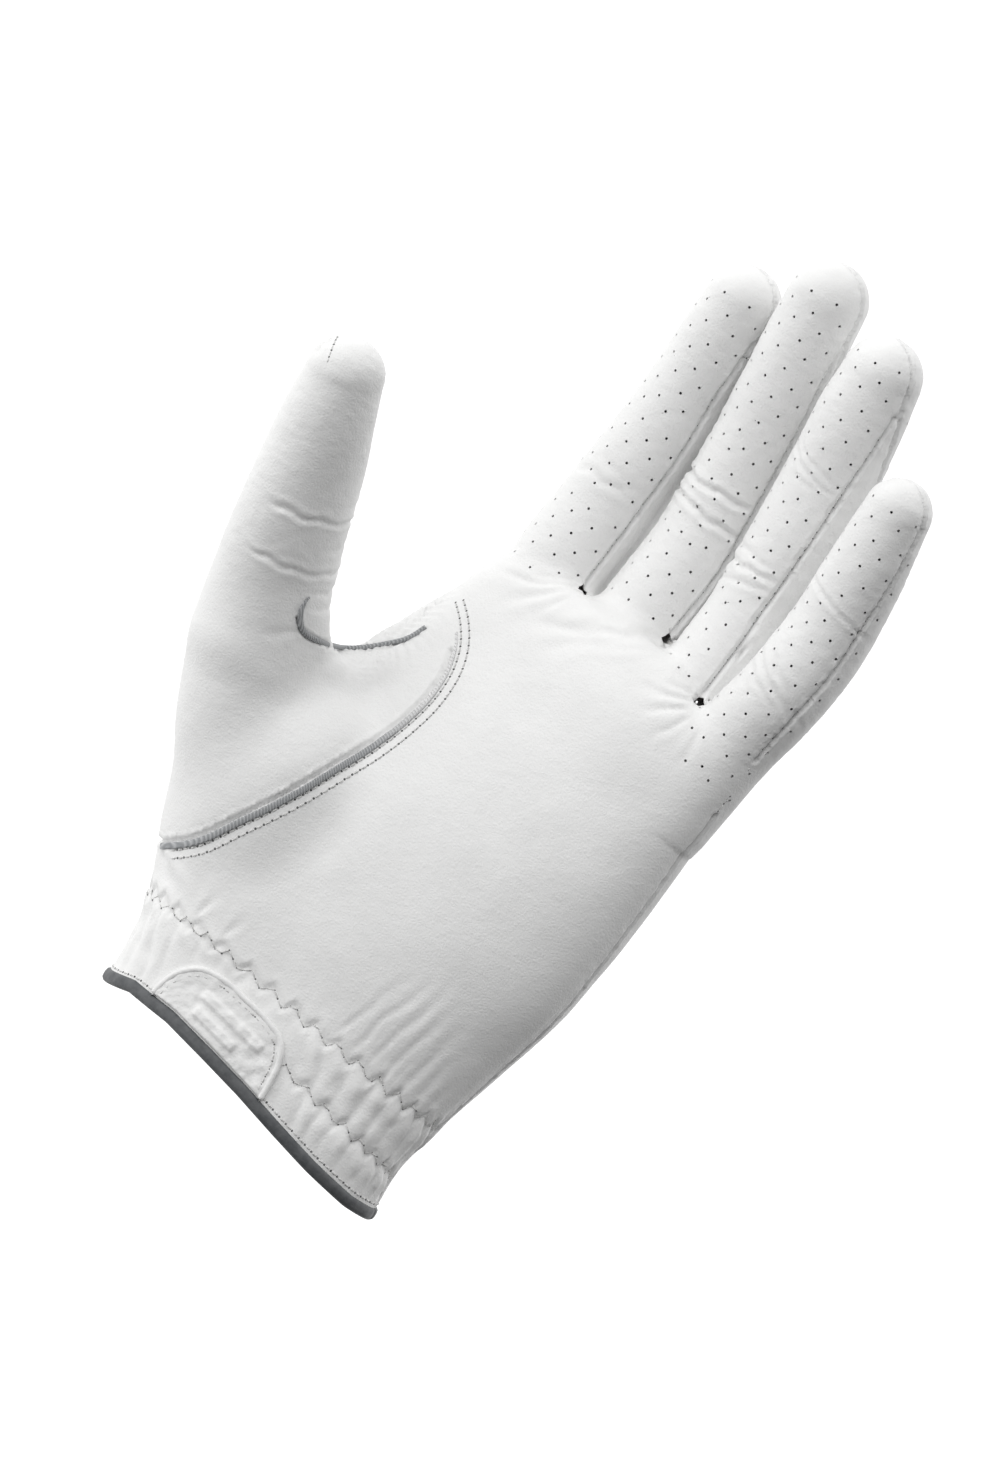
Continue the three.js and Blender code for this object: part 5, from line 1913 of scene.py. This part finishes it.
# ---- Light, floor and camera ------------------------------------------------------------------------
SHADE_WAY = (0.62, -0.48, -0.62)  # the studio is white all round except towards here
SHADE_EDGE, SHADE_MIDDLE = 0.15, 0.78  # how nearly a direction agrees with SHADE_WAY where the shade fades
WORLD_BRIGHT, WORLD_DARK = 1.12, 0.03
SEEN_WHITE = 1.6
FLOOR_HALF, FLOOR_Z = 1500, -150
KEY_AT, KEY_TARGET = (-525, -350, 384), (0, 0, 90)
KEY_SIZE, KEY_POWER = 400, 0.9


def build_stage():
    floor_look = Material("pale_floor", (0.9, 0.9, 0.9), 0.9)
    floor_look.colours(floor_look.noise(3, 3), (0.89, 0.89, 0.89), (0.91, 0.91, 0.91))
    floor_look.shader.inputs["Emission Color"].default_value = (1, 1, 1, 1)
    floor_look.shader.inputs["Emission Strength"].default_value = 0.8
    corners = [(x * FLOOR_HALF, y * FLOOR_HALF, FLOOR_Z) for x, y in ((-1, -1), (1, -1), (1, 1), (-1, 1))]
    floor = mesh_object("floor", corners, [(0, 1, 2, 3)], floor_look.material)
    floor.visible_diffuse = False
    floor.visible_glossy = False
    build_world()
    soft_box("key", KEY_AT, KEY_TARGET, KEY_SIZE, KEY_POWER)
    scene = bpy.context.scene
    scene.view_settings.view_transform = "Standard"
    scene.view_settings.look = "None"
    scene.view_settings.exposure = 0
    scene.view_settings.gamma = 1


def build_world():
    """White light from everywhere but one side, and plain white where the camera sees past the glove."""
    world = bpy.data.worlds.new("studio")
    bpy.context.scene.world = world
    world.use_nodes = True
    nodes, links = world.node_tree.nodes, world.node_tree.links
    place = nodes.new("ShaderNodeTexCoord")
    facing = nodes.new("ShaderNodeVectorMath")
    facing.operation = "DOT_PRODUCT"
    facing.inputs[1].default_value = Vector(SHADE_WAY).normalized()
    links.new(place.outputs["Generated"], facing.inputs[0])
    fade = nodes.new("ShaderNodeMapRange")
    fade.interpolation_type = "SMOOTHSTEP"
    values = (SHADE_EDGE, SHADE_MIDDLE, WORLD_BRIGHT, WORLD_DARK)
    for key, value in zip(("From Min", "From Max", "To Min", "To Max"), values):
        fade.inputs[key].default_value = value
    links.new(facing.outputs["Value"], fade.inputs["Value"])
    light = nodes["Background"]
    links.new(fade.outputs["Result"], light.inputs["Strength"])
    light.inputs["Color"].default_value = (1, 1, 1, 1)
    seen = nodes.new("ShaderNodeBackground")
    seen.inputs["Strength"].default_value = SEEN_WHITE
    mix = nodes.new("ShaderNodeMixShader")
    path = nodes.new("ShaderNodeLightPath")
    links.new(path.outputs["Is Camera Ray"], mix.inputs[0])
    links.new(light.outputs[0], mix.inputs[1])
    links.new(seen.outputs[0], mix.inputs[2])
    links.new(mix.outputs[0], nodes["World Output"].inputs["Surface"])


def soft_box(name, place, target, size, power):
    light = bpy.data.lights.new(name, "AREA")
    light.size = size * MM
    light.energy = power
    obj = bpy.data.objects.new(name, light)
    obj.location = Vector(place) * MM
    obj.rotation_euler = (Vector(target) - Vector(place)).to_track_quat("-Z", "Y").to_euler()
    bpy.context.scene.collection.objects.link(obj)


CAMERA_AT = (-2.0, -1218, 89.7)
CAMERA_ROLL = 37  # degrees
CAMERA_LENS = 150


def build_camera():
    camera = bpy.data.cameras.new("camera")
    camera.lens = CAMERA_LENS
    camera.sensor_width = 36
    camera.clip_end = 20
    obj = bpy.data.objects.new("camera", camera)
    roll = math.radians(CAMERA_ROLL)
    right = Vector((math.cos(roll), 0, math.sin(roll)))
    up = Vector((-math.sin(roll), 0, math.cos(roll)))
    back = right.cross(up)
    matrix = Matrix((right, up, back)).transposed().to_4x4()
    matrix.translation = Vector(CAMERA_AT) * MM
    obj.matrix_world = matrix
    bpy.context.scene.collection.objects.link(obj)
    bpy.context.scene.camera = obj


# ---- The build --------------------------------------------------------------------------------------
def tree_of_seams(skin):
    """The skin's points on the seams, each moved out by the same shift as in seam_relief, for finding."""
    on_seam = skin.verts[skin.on_seam]
    tree = KDTree(len(on_seam))
    shifted = on_seam + unit(gradient(skin_distance, on_seam, 0.1)) * FACING_SHIFT
    for i, place in enumerate(shifted):
        tree.insert(place, i)
    tree.balance()
    return tree


def build_trims():
    sewing = Sewing()
    build_thenar_tape()
    build_web_binding()
    build_bindings(sewing)
    build_palm_patch(sewing)
    build_closure(sewing)
    build_inside()
    seam_stitches(sewing)
    sewing.build()


skin = build_skin()
panel = cut_panels(skin)
seam_tree = tree_of_seams(skin)
build_leather(*punch_holes(skin, panel))
build_trims()
build_stage()
build_camera()
